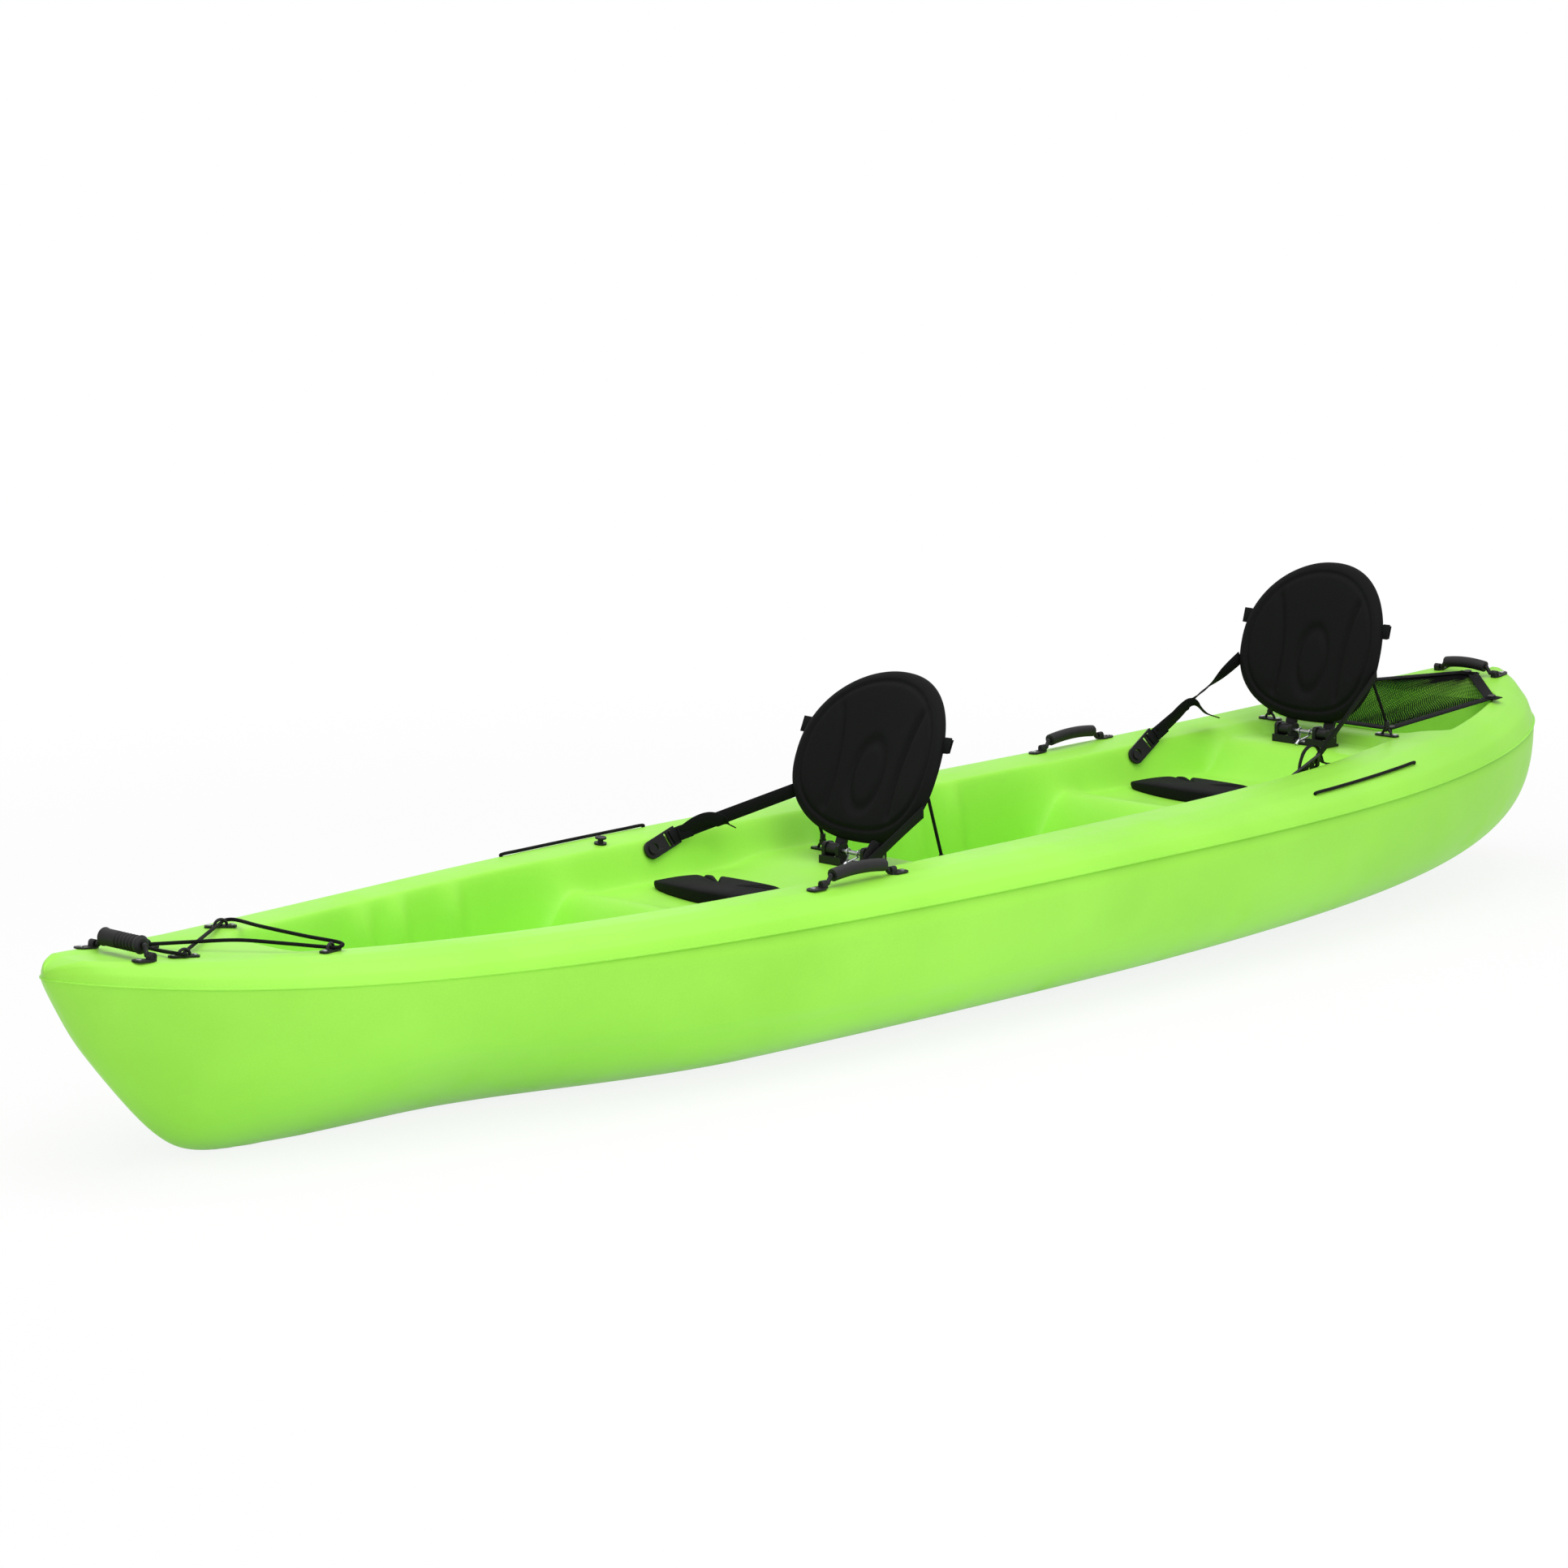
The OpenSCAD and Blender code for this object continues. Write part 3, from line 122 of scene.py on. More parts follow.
def skin(rings, closed=False):
    """Points and faces of a surface through a row of like rings."""
    n = len(rings[0])
    span = n if closed else n - 1
    faces = [(i * n + j, i * n + (j + 1) % n, (i + 1) * n + (j + 1) % n, (i + 1) * n + j)
             for i in range(len(rings) - 1) for j in range(span)]
    return [tuple(p) for ring in rings for p in ring], faces


def set_out(name, mesh, finish):
    """Puts a finished mesh into the scene as a smooth piece."""
    for face in mesh.polygons:
        face.use_smooth = True
    mesh.materials.append(finish)
    piece = bpy.data.objects.new(name, mesh)
    bpy.context.scene.collection.objects.link(piece)
    return piece


def make_piece(name, points, faces, finish):
    mesh = bpy.data.meshes.new(name)
    mesh.from_pydata(points, [], faces)
    bm = bmesh.new()
    bm.from_mesh(mesh)
    bmesh.ops.remove_doubles(bm, verts=bm.verts, dist=1e-6)
    bmesh.ops.dissolve_degenerate(bm, edges=bm.edges, dist=1e-7)
    bm.to_mesh(mesh)
    bm.free()
    return set_out(name, mesh, finish)


class Wire:
    """A socket of a finish's node tree; sums and products of wires add Math nodes."""

    def __init__(self, tree, socket=None):
        self.tree, self.socket = tree, socket

    def add(self, kind, settings, sockets, out=0):
        node = self.tree.nodes.new("ShaderNode" + kind)
        for key, value in settings.items():
            setattr(node, key, value)
        for key, value in sockets.items():
            if isinstance(value, Wire):
                self.tree.links.new(value.socket, node.inputs[key])
            else:
                node.inputs[key].default_value = value
        return Wire(self.tree, node.outputs[out])

    def also(self, out):
        """Another output of the same node."""
        return Wire(self.tree, self.socket.node.outputs[out])

    def reckon(self, operation, *terms):
        return self.add("Math", {"operation": operation}, dict(enumerate(terms)))

    def __add__(self, other):
        return self.reckon("ADD", self, other)

    def __sub__(self, other):
        return self.reckon("SUBTRACT", self, other)

    def __rsub__(self, other):
        return self.reckon("SUBTRACT", other, self)

    def __mul__(self, other):
        return self.reckon("MULTIPLY", self, other)

    __radd__, __rmul__ = __add__, __mul__

    def wave(self, pitch):
        return self.reckon("SINE", self * (2 * math.pi / pitch))

    def step(self, low, high):
        return self.add("MapRange", {"interpolation_type": "SMOOTHSTEP"}, {0: self, 1: low, 2: high})


def paint(red, green, blue):
    """A colour as seen on a screen, in the shader's own scale."""
    shares = [((c / 255 + 0.055) / 1.055) ** 2.4 if c > 10 else c / 3294.6 for c in (red, green, blue)]
    return (*shares, 1.0)


def new_finish(name, **constants):
    """A finish with its constants set, and the wire of places on the piece that its patterns start from."""
    finish = bpy.data.materials.new(name)
    finish.use_nodes = True
    shader = finish.node_tree.nodes["Principled BSDF"]
    for key, value in constants.items():
        shader.inputs[key.replace("_", " ")].default_value = value
    return finish, Wire(finish.node_tree).add("TexCoord", {}, {}, "Object")


def feed(finish, **wires):
    shader = finish.node_tree.nodes["Principled BSDF"]
    for key, wire in wires.items():
        finish.node_tree.links.new(wire.socket, shader.inputs[key.replace("_", " ")])


def speckle(place, scale, detail=2.0, roughness=0.5):
    return place.add("TexNoise", {}, {"Vector": place, "Scale": scale, "Detail": detail,
                                      "Roughness": roughness}, "Fac")


def tint(mask, dark, light):
    """A colour between two paints, by a mask."""
    return mask.add("Mix", {"data_type": "RGBA"}, {0: mask, 6: paint(*dark), 7: paint(*light)}, 2)


def relief(height, strength, depth):
    return height.add("Bump", {}, {"Strength": strength, "Distance": depth, "Height": height}, "Normal")


lime, place = new_finish("lime_polyethylene", IOR=1.5, Specular_IOR_Level=0.28)
cloud, fleck = speckle(place, 2.4, 3.0), speckle(place, 520.0)
scuff = speckle(place, 9.0, 8.0, 0.7)
peel, ripple = speckle(place, 260.0), speckle(place, 11.0, 1.0)
lime_shade = cloud * 0.65 + fleck * 0.2 + scuff * 0.15
feed(lime,
     Base_Color=tint(lime_shade.step(0.25, 0.75), (150, 226, 68), (166, 242, 84)),
     Roughness=0.40 + scuff.step(0.45, 0.75) * 0.14 + fleck * 0.05,
     Normal=relief(peel * 0.22 + ripple * 1.6, 0.25, 0.001))


def thicken(shell):
    wall = shell.modifiers.new("wall", "SOLIDIFY")
    wall.thickness, wall.offset = moulding_wall, -1


station_count = 420
stations = [half_length * math.sin(math.pi / 2 * (2 * i / station_count - 1))
            for i in range(station_count + 1)]
hull = make_piece("lower_hull", *skin([hull_frame(x) for x in stations]), lime)
thicken(hull)
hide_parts("hull_shell")
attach(hull, "kayak")


def tube(path, radius, sides=10):
    """Rings of a round tube along a path, with pinched ends.

    Each ring is turned on smoothly from the one before, so the tube does not twist.
    """
    path = [Vector(p) for p in path]
    rings, over = [], None
    for i, p in enumerate(path):
        along = (path[min(i + 1, len(path) - 1)] - path[max(i - 1, 0)]).normalized()
        if over is None:
            over = along.cross(Vector((0.3, 0.2, 1))).normalized()
        over = (over - along * over.dot(along)).normalized()
        side = along.cross(over)
        rings.append([p + (over * math.cos(a) + side * math.sin(a)) * radius
                      for a in (2 * math.pi * k / sides for k in range(sides))])
    return [[path[0]] * sides] + rings + [[path[-1]] * sides]


bead_radius, bead_proud = 0.0019, 0.0002
seam_run = [(x, half_breadth(x) + bead_proud, sheer(x)) for x in stations[2:-2]]
seam_run += [(x, -y, z) for x, y, z in reversed(seam_run)]
seam = make_piece("parting_bead", *skin(tube(seam_run, bead_radius, 8), True), lime)
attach(seam, "kayak")

# Deck moulding: the upper polyethylene shell, with broad gunwales round two footwells, two seat pans
# and the tankwell. Foot braces are moulded into the footwell walls as upright ridges.
# It is welded to the lower hull all round in the mould.
wall_run, wall_share, lip_share = 0.045, 0.6, 0.93
rim_mid, rim_bow_drop, rim_stern_rise, rim_fade = 0.041, 0.007, 0.026, 0.06
gunwale_fore, gunwale_aft, gunwale_fade = 0.126, 0.161, 0.2
broad_from_x, broad_run = 0.9, 1.2
tank_gunwale, tank_fore_x, tank_fore_run, tank_aft_x, tank_aft_run = 0.086, -1.345, 0.065, -1.740, 0.075
gunwale_knots = np.array([(-0.2, -0.9), (0, 0), (0.1, 0.45), (0.31, 0.82),
                          (0.53, 1), (0.8, 1), (1, lip_share), (1.2, 0.86)])
gunwale_shares = np.linspace(-0.2, 1.2, 561)
gunwale_blur = np.hanning(37) / np.hanning(37).sum()
gunwale_rise = np.convolve(np.interp(gunwale_shares, *gunwale_knots.T), gunwale_blur, "same")


def rim_height(x):
    bow, stern = end_shares(x)
    height = rim_mid - rim_bow_drop * bow ** 2 + rim_stern_rise * stern ** 2
    return height * min(1.0, math.sqrt(half_breadth(x) / rim_fade))


def gunwale_breadth(x):
    full = mix(gunwale_fore, gunwale_aft, ease((broad_from_x - x) / broad_run))
    return full * min(1.0, half_breadth(x) / gunwale_fade)


def gunwale_z(x, inboard):
    """Height of the gunwale at a distance in from the parting line."""
    share = min(1.0, max(0.0, inboard / max(1e-6, gunwale_breadth(x))))
    return sheer(x) + rim_height(x) * max(0.0, float(np.interp(share, gunwale_shares, gunwale_rise)))


def lip_in(x):
    """Distance of the well's lip from the parting line, which is less beside the tankwell."""
    full = gunwale_breadth(x)
    tank = ease((tank_fore_x - x) / tank_fore_run) * ease((x - tank_aft_x) / tank_aft_run)
    return mix(full, min(full, tank_gunwale), tank)


def well_half(x):
    return half_breadth(x) - lip_in(x)


def flush(x):
    return sheer(x) + rim_height(x) * lip_share


# The well's floor from bow to stern, as stations with the floor's height there or None where it is flush.
well_line = [(1.420, None), (1.310, 0.105), (0.690, 0.100), (0.550, 0.240), (0.480, 0.228), (0.170, 0.228),
             (0.090, 0.240), (-0.050, 0.240), (-0.170, 0.105), (-0.600, 0.100), (-0.740, 0.248),
             (-0.810, 0.236), (-1.120, 0.236), (-1.200, 0.300), (-1.280, 0.300), (-1.300, None),
             (-1.345, None), (-1.410, 0.208), (-1.645, 0.216), (-1.720, None)]


def well_floor(x):
    for (fore, high), (aft, low) in zip(well_line, well_line[1:]):
        if aft < x < fore:
            high = flush(fore) if high is None else high
            low = flush(aft) if low is None else low
            return mix(high, low, ease((fore - x) / (fore - aft)))
    return flush(x)


def wall_reach(x):
    return min(wall_run, wall_share * well_half(x))


def deck_z(x, y):
    inboard = half_breadth(x) - abs(y)
    inside = inboard - lip_in(x)
    if inside > 0:
        return mix(gunwale_z(x, lip_in(x)), well_floor(x), ease(inside / wall_reach(x)))
    return gunwale_z(x, inboard)


brace_places = (1.055, 0.965, 0.825, -0.235, -0.345, -0.455)
brace_proud, brace_round, brace_grow, brace_foot, brace_fade = 0.015, 0.021, 0.35, 1.25, 0.4


def brace_ridge(x, depth):
    """How far the well wall stands in at a foot brace, growing from the lip down."""
    ridge = sum(math.exp(-((x - brace) / brace_round) ** 2) for brace in brace_places)
    return brace_proud * ridge * ease(depth / brace_grow) * ease((brace_foot - depth) / brace_fade)


gunwale_steps, wall_steps = 27, 19


def deck_frame(x):
    b, g, w = half_breadth(x), lip_in(x), well_half(x)
    side = [(b - g * s, deck_z(x, b - g * s)) for s in np.linspace(0, 1, gunwale_steps) ** 1.4]
    for s in np.linspace(0, 1, wall_steps)[1:]:
        y = w - s * wall_reach(x)
        side.append((max(0.0, y - brace_ridge(x, s)), deck_z(x, y)))
    foot = side[-1][0]
    side += [(foot * s, deck_z(x, 0.0)) for s in (0.9, 0.75, 0.5, 0.25)]
    half = [(x, -y, z) for y, z in side] + [(x, 0.0, deck_z(x, 0.0))]
    return half + [(x, -y, z) for x, y, z in reversed(half[:-1])]


deck = make_piece("deck_moulding", *skin([deck_frame(x) for x in reversed(stations)]), lime)
thicken(deck)
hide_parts("deck_shell")
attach(deck, "kayak")

# Drain plug and hinge brackets: injection-moulded black plastic, bedded on the deck and screwed down.
# The moulded faces have a fine pebbled grain and slightly eased edges that catch the light.
plastic, place = new_finish("black_moulded_plastic", IOR=1.48, Specular_IOR_Level=0.30)
pebble = place.add("TexVoronoi", {}, {"Vector": place, "Scale": 900.0}, "Distance")
cloud = speckle(place, 30.0, 4.0)
feed(plastic,
     Base_Color=tint(cloud, (11, 11, 12), (20, 20, 21)),
     Roughness=0.40 + cloud * 0.16,
     Normal=relief(pebble, 0.22, 0.0004))
crease = math.radians(38)


def dress(name, finish, edge=0.0007):
    """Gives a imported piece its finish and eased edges."""
    node = nodes[name]
    for slot in node.material_slots:
        slot.material = finish
    weld = node.modifiers.new("weld", "WELD")
    weld.merge_threshold = 1e-5
    eased = node.modifiers.new("eased_edges", "BEVEL")
    eased.width, eased.segments = edge, 2
    eased.limit_method, eased.angle_limit = "ANGLE", crease
    eased.use_clamp_overlap = True


for name in ("drain_plug", "drain_seal", "front_bracket", "rear_bracket"):
    dress(name, plastic)

# Hinge pins and screws: stainless steel, turned from bar.
# Each pin passes through a bracket's ears and the backrest's legs and is headed over at both ends.
steel, place = new_finish("stainless_steel", Metallic=1.0)
drawn, tarnish = speckle(place, 700.0, 3.0), speckle(place, 60.0, 4.0)
feed(steel,
     Base_Color=tint(tarnish, (150, 151, 154), (206, 207, 210)),
     Roughness=0.22 + drawn * 0.16,
     Normal=relief(drawn, 0.1, 0.0002))
for name in ("front_hinge_pin", "rear_hinge_pin", "bracket_screws", "seat_eye_screws", "bow_eye_screws",
             "handle_screws"):
    dress(name, steel, 0.0004)

# Backrest frames: black plastic plates of two legs and two cross bars, hinged on the pins.
# Each stands behind its pad, which is bonded to it.
for name in ("front_backrest_frame", "rear_backrest_frame"):
    dress(name, plastic, 0.0012)

# Backrest pads: moulded closed-cell foam with a knitted nylon skin, egg-shaped, wrapped round the sitter.
# A rim runs round the edge, two long channels run up the pad and a plain oval one lies between them.
# The skin is drawn tight over the foam and bonded to the frame behind.
back_height, back_breadth, back_thick, pad_rise = 0.315, 0.334, 0.026, 0.020
plate_back, back_wrap, pad_sides = -0.007, 0.420, 150
above_share, above_square, below_share, below_square = 0.55, 2.05, 0.45, 2.5
pad_middle = pad_rise + below_share * back_height
rim_groove, rim_round, rim_at, rim_scale = 0.0042, 0.0042, 0.865, 0.16
long_groove, long_round, long_half, long_fade = 0.0065, 0.0075, 0.36, 0.08
long_out, long_slope, long_curve = 0.076, 0.030, 0.11
oval_groove, oval_round, oval_half, oval_tall, oval_low = 0.0055, 0.0065, 0.034, 0.2, 0.08
# Each seat's hinge pin, the lean of its backrest, and the height on the pad where the side straps end.
seats = {"front": ((0.050, 0.264), math.radians(24), 0.088),
         "rear": ((-1.240, 0.324), math.radians(16), 0.125)}


def signed_pow(v, p):
    return math.copysign(abs(v) ** p, v)


def egg(a, r):
    square, tall = (above_square, above_share) if math.sin(a) > 0 else (below_square, below_share)
    power = 2 / square
    return (r * back_breadth / 2 * signed_pow(math.cos(a), power),
            pad_middle + r * tall * back_height * signed_pow(math.sin(a), power))


def dip(d, breadth):
    return math.exp(-(d / breadth) ** 2)


def channels(y, z):
    """Depth of the long and oval channels at a place on the pad."""
    h = (z - pad_middle) / back_height
    oval = math.hypot(y / oval_half, (h + oval_low) / oval_tall)
    out = long_out + long_slope * h + long_curve * h * h
    long = long_groove * dip(abs(y) - out, long_round) * ease((long_half - abs(h)) / long_fade)
    return long + oval_groove * dip((oval - 1) * oval_half, oval_round)


def wrap(y):
    return y * y / (2 * back_wrap)


def lean_frame(seat):
    (x, z), lean, _ = seats[seat]
    return Matrix.Translation((x, 0, z)) @ Matrix.Rotation(-lean, 4, "Y")


def pad_points(r, front):
    crown = math.sqrt(max(0.0, 1 - r ** 8))
    rim = rim_groove * dip((r - rim_at) * rim_scale, rim_round)
    ring = []
    for k in range(pad_sides):
        y, z = egg(2 * math.pi * k / pad_sides, r)
        x = back_thick * crown - channels(y, z) * crown - rim if front else plate_back * crown
        ring.append(Vector((wrap(y) + x, y, z)))
    return ring


foam, place = new_finish("black_foam_skin", IOR=1.45, Specular_IOR_Level=0.10)
knit = place.add("TexVoronoi", {}, {"Vector": place, "Scale": 780.0}, "Distance")
rub, lint = speckle(place, 18.0, 5.0), speckle(place, 260.0)
feed(foam,
     Base_Color=tint(rub * 0.7 + lint * 0.3, (10, 10, 11), (21, 21, 22)),
     Roughness=0.62 + rub * 0.22,
     Normal=relief(knit * 0.7 + lint * 0.5, 0.35, 0.0005))

front_shares = [0.02] + [1 - (1 - i / 60) ** 1.35 for i in range(2, 61)]
behind_shares = (0.985, 0.95, 0.8, 0.6, 0.3)
for seat in seats:
    rings = [[pad_points(0, True)[0]] * pad_sides] + [pad_points(r, True) for r in front_shares]
    rings += [pad_points(r, False) for r in behind_shares] + [[pad_points(0, False)[0]] * pad_sides]
    points, faces = skin(rings, True)
    turn = lean_frame(seat)
    pad = make_piece(seat + "_back_cushion", [turn @ Vector(p) for p in points], faces, foam)
    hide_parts(seat + "_backrest_pad")
    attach(pad, seat + "_backrest")

# Back bands: polyester webbing sewn across the back of each pad, ending in a stitched tab at each edge.
# The webbing is a ribbed weave with a firm selvedge.
strap_breadth, strap_thick = 0.025, 0.002
webbing, place = new_finish("black_webbing", IOR=1.45, Specular_IOR_Level=0.10)
weave = place.add("SeparateXYZ", {}, {0: place.also("UV")}, 0)
rib = weave.also(1).wave(0.0030) * weave.wave(0.0044)
thread = speckle(place, 500.0)
# The colour follows the bump height of the weave: painted shade, darker in the hollows between the ribs,
# with a random thread fleck on top.
feed(webbing,
     Base_Color=tint((rib * 0.5 + 0.5) * 0.6 + thread * 0.4, (9, 9, 10), (25, 25, 27)),
     Roughness=0.66 + thread * 0.2,
     Normal=relief(rib * 0.5 + thread * 0.4, 0.5, 0.0005))


def smooth_run(points, count):
    """A smooth curve through the given points."""
    points = [Vector(p) for p in points]
    ends = [points[0] * 2 - points[1]] + points + [points[-1] * 2 - points[-2]]
    run = []
    for i in range(count + 1):
        t = i / count * (len(points) - 1)
        k = min(int(t), len(points) - 2)
        a, b, c, d = ends[k:k + 4]
        u = t - k
        run.append((b * 2 + (c - a) * u + (a * 2 - b * 5 + c * 4 - d) * u ** 2
                    + (b * 3 - a - c * 3 + d) * u ** 3) / 2)
    return run


def ribbon(path, over_ways, breadth=strap_breadth, thick=strap_thick):
    """Rings and weave places of flat webbing along a path, its breadth lying along over_ways."""
    half, flat, bead = breadth / 2, thick / 2, thick * 0.35
    section = [(-half, -flat + bead), (-half + bead, -flat), (half - bead, -flat), (half, -flat + bead),
               (half, flat - bead), (half - bead, flat), (-half + bead, flat), (-half, flat - bead)]
    rings, runs, far = [], [], 0.0
    for i, p in enumerate(path):
        along = (path[min(i + 1, len(path) - 1)] - path[max(i - 1, 0)]).normalized()
        over = over_ways[i] - along * over_ways[i].dot(along)
        over.normalize()
        out = along.cross(over)
        far += (path[i] - path[i - 1]).length if i else 0.0
        rings.append([p + over * u + out * v for u, v in section])
        runs.append(far)
    rings = [[path[0]] * len(section)] + rings + [[path[-1]] * len(section)]
    runs = [runs[0]] + runs + [runs[-1]]
    return rings, [[(u, far) for u, _ in section] for far in runs]


def join_tubes(tubes):
    """Points and faces of several closed runs of rings as one mesh."""
    points, faces = [], []
    for rings in tubes:
        some_points, some_faces = skin(rings, True)
        faces += [tuple(len(points) + k for k in face) for face in some_faces]
        points += some_points
    return points, faces


def make_webbing(name, strips):
    """One piece of webbing from ribbons, with weave places in metres."""
    points, faces = join_tubes([rings for rings, _ in strips])
    places = [spot for _, spots in strips for ring in spots for spot in ring]
    mesh = bpy.data.meshes.new(name)
    mesh.from_pydata(points, [], faces)
    lay = mesh.uv_layers.new(name="weave")
    for loop in mesh.loops:
        lay.data[loop.index].uv = places[loop.vertex_index]
    piece = set_out(name, mesh, webbing)
    split = piece.modifiers.new("selvedge", "EDGE_SPLIT")
    split.split_angle = math.radians(50)
    return piece


plate_thick, band_gap, band_behind_edge = 0.007, 0.0008, 0.009
band_height, band_reach = pad_rise + 0.6 * back_height, back_breadth / 2 + 0.009
bend_from, bend_run = 0.058, 0.060
tab_length, tab_forward, tab_behind, tab_thick, tab_broader = 0.016, 0.0022, 0.0055, 0.0028, 0.004
for seat in seats:
    turn = lean_frame(seat)
    behind = plate_back - plate_thick - band_gap - strap_thick
    path = []
    for i in range(61):
        y = band_reach * (i / 30 - 1)
        x = mix(behind, wrap(y) - band_behind_edge, ease((abs(y) - bend_from) / bend_run))
        path.append(turn @ Vector((x + strap_thick / 2, y, band_height)))
    up = turn.to_3x3() @ Vector((0, 0, 1))
    strips = [ribbon(path, [up] * len(path))]
    for side in (-1, 1):
        tab = [turn @ Vector((wrap(band_reach) - tab_behind + tab_forward * t,
                              side * (band_reach - tab_length * (1 - t)), band_height))
               for t in (0.0, 0.25, 0.5, 0.75, 1.0)]
        strips.append(ribbon(tab, [up] * len(tab), strap_breadth + tab_broader, tab_thick))
    band = make_webbing(seat + "_back_webbing", strips)
    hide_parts(seat + "_back_band")
    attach(band, seat + "_backrest")

# Strap hooks and their posts: black plastic tabs with a keyhole that slips over a post in the well wall.
# The webbing is laced through two slots in the tail of each tab.
for name in ("front_strap_hooks", "rear_strap_hooks", "anchor_posts"):
    dress(name, plastic, 0.0012)

# Spring hooks: a V bent from one stainless wire, with an eye round the hinge pin at each end.
# It hangs ahead of the bracket, with a small swivel at its point.
wire_d, eye_bend, eye_apart, eye_pitch = 0.0026, 0.0062, 0.0105, 0.0006
hook_drop, hook_slant, swivel_radius = 0.026, math.radians(38), 0.0036
point_round, point_open = 0.004, 0.0024
for seat, ((hinge_x, hinge_z), _, _) in seats.items():
    spot = Vector((hinge_x, 0, hinge_z))
    slant = Vector((math.cos(hook_slant), 0, -math.sin(hook_slant)))
    curl = [spot + Vector((-math.cos(a) * eye_bend, eye_apart + eye_pitch * a, -math.sin(a) * eye_bend))
            for a in np.linspace(2.1 * math.pi, 0.55 * math.pi, 22)]
    bend = spot + slant * (hook_drop - point_round) + Vector((0, point_open, 0))
    half_wire = curl + [bend, spot + slant * hook_drop]
    wire = half_wire + [Vector((p.x, -p.y, p.z)) for p in reversed(half_wire[:-1])]
    swivel = [spot + slant * (hook_drop + d) for d in (-0.003, 0.0, 0.004, 0.008, 0.011)]
    rounds = [tube(smooth_run(wire, 120), wire_d / 2, 10), tube(swivel, swivel_radius, 14)]
    hook = make_piece(seat + "_spring_hook", *join_tubes(rounds), steel)
    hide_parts(seat + "_snap_hook")
    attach(hook, "kayak")

# Side straps: black polyester webbing from the hooks to the edges of the pads, which hold the backrests up.
# Each is doubled through its hook, with a stitched fold and a loose end.
anchor_ahead, anchor_in, hook_turn = 0.284, 0.016, math.radians(197)
hook_length, hook_lift, slot_back, tail_back, edge_gap = 0.074, 0.0103, 0.020, 0.002, 0.0012
seat_gap, slope_feel = 0.0004, 0.008


def deck_point(x, y, turn, local):
    """A place given in the deck's own tilted plane at x, y."""
    rise_x = (deck_z(x + slope_feel, y) - deck_z(x - slope_feel, y)) / (2 * slope_feel)
    rise_y = (deck_z(x, y + slope_feel) - deck_z(x, y - slope_feel)) / (2 * slope_feel)
    a = math.asin(rise_y / math.sqrt(rise_x ** 2 + rise_y ** 2 + 1))
    b = math.atan(-rise_x)
    along = Vector((math.cos(b), 0, -math.sin(b)))
    across = Vector((math.sin(b) * math.sin(a), math.cos(a), math.cos(b) * math.sin(a)))
    u = local[0] * math.cos(turn) - local[1] * math.sin(turn)
    v = local[0] * math.sin(turn) + local[1] * math.cos(turn)
    return Vector((x, y, deck_z(x, y) + seat_gap)) + along * u + across * v + along.cross(across) * local[2]


def pad_half(height):
    """Half breadth of a backrest pad below its middle."""
    below = max(0.0, pad_middle - height) / (below_share * back_height)
    return back_breadth / 2 * (1 - below ** below_square) ** 0.4


# The routes of the loose ends: a share of the strap's run, and a distance off it there.
short_end = [(0.03, (0, 0.0022, 0.001)), (0.13, (0, 0.006, 0.010)), (0.22, (0, 0.010, 0.011)),
             (0.31, (0, 0.013, 0.001)), (0.37, (0, 0.018, -0.010)), (0.41, (0, 0.022, -0.018))]
hanging_end = [(0.03, (0, 0.0022, 0.0)), (0.14, (0, 0.004, 0.003)), (0.27, (0, 0.006, 0.008)),
               (0.37, (0, 0.008, 0.005)), (0.41, (-0.012, 0.010, -0.008)),
               (0.41, (-0.036, 0.012, -0.024)), (0.41, (-0.062, 0.013, -0.034))]
looped_end = [(0, (0.047, 0.004, -0.036)), (0, (0.041, 0.008, -0.010)), (0, (0.024, 0.012, 0.012)),
              (0, (0.002, 0.014, 0.021)), (0, (-0.017, 0.014, 0.017)), (0, (-0.028, 0.012, 0.002)),
              (0, (-0.036, 0.010, -0.013)), (0, (-0.064, 0.008, -0.019))]
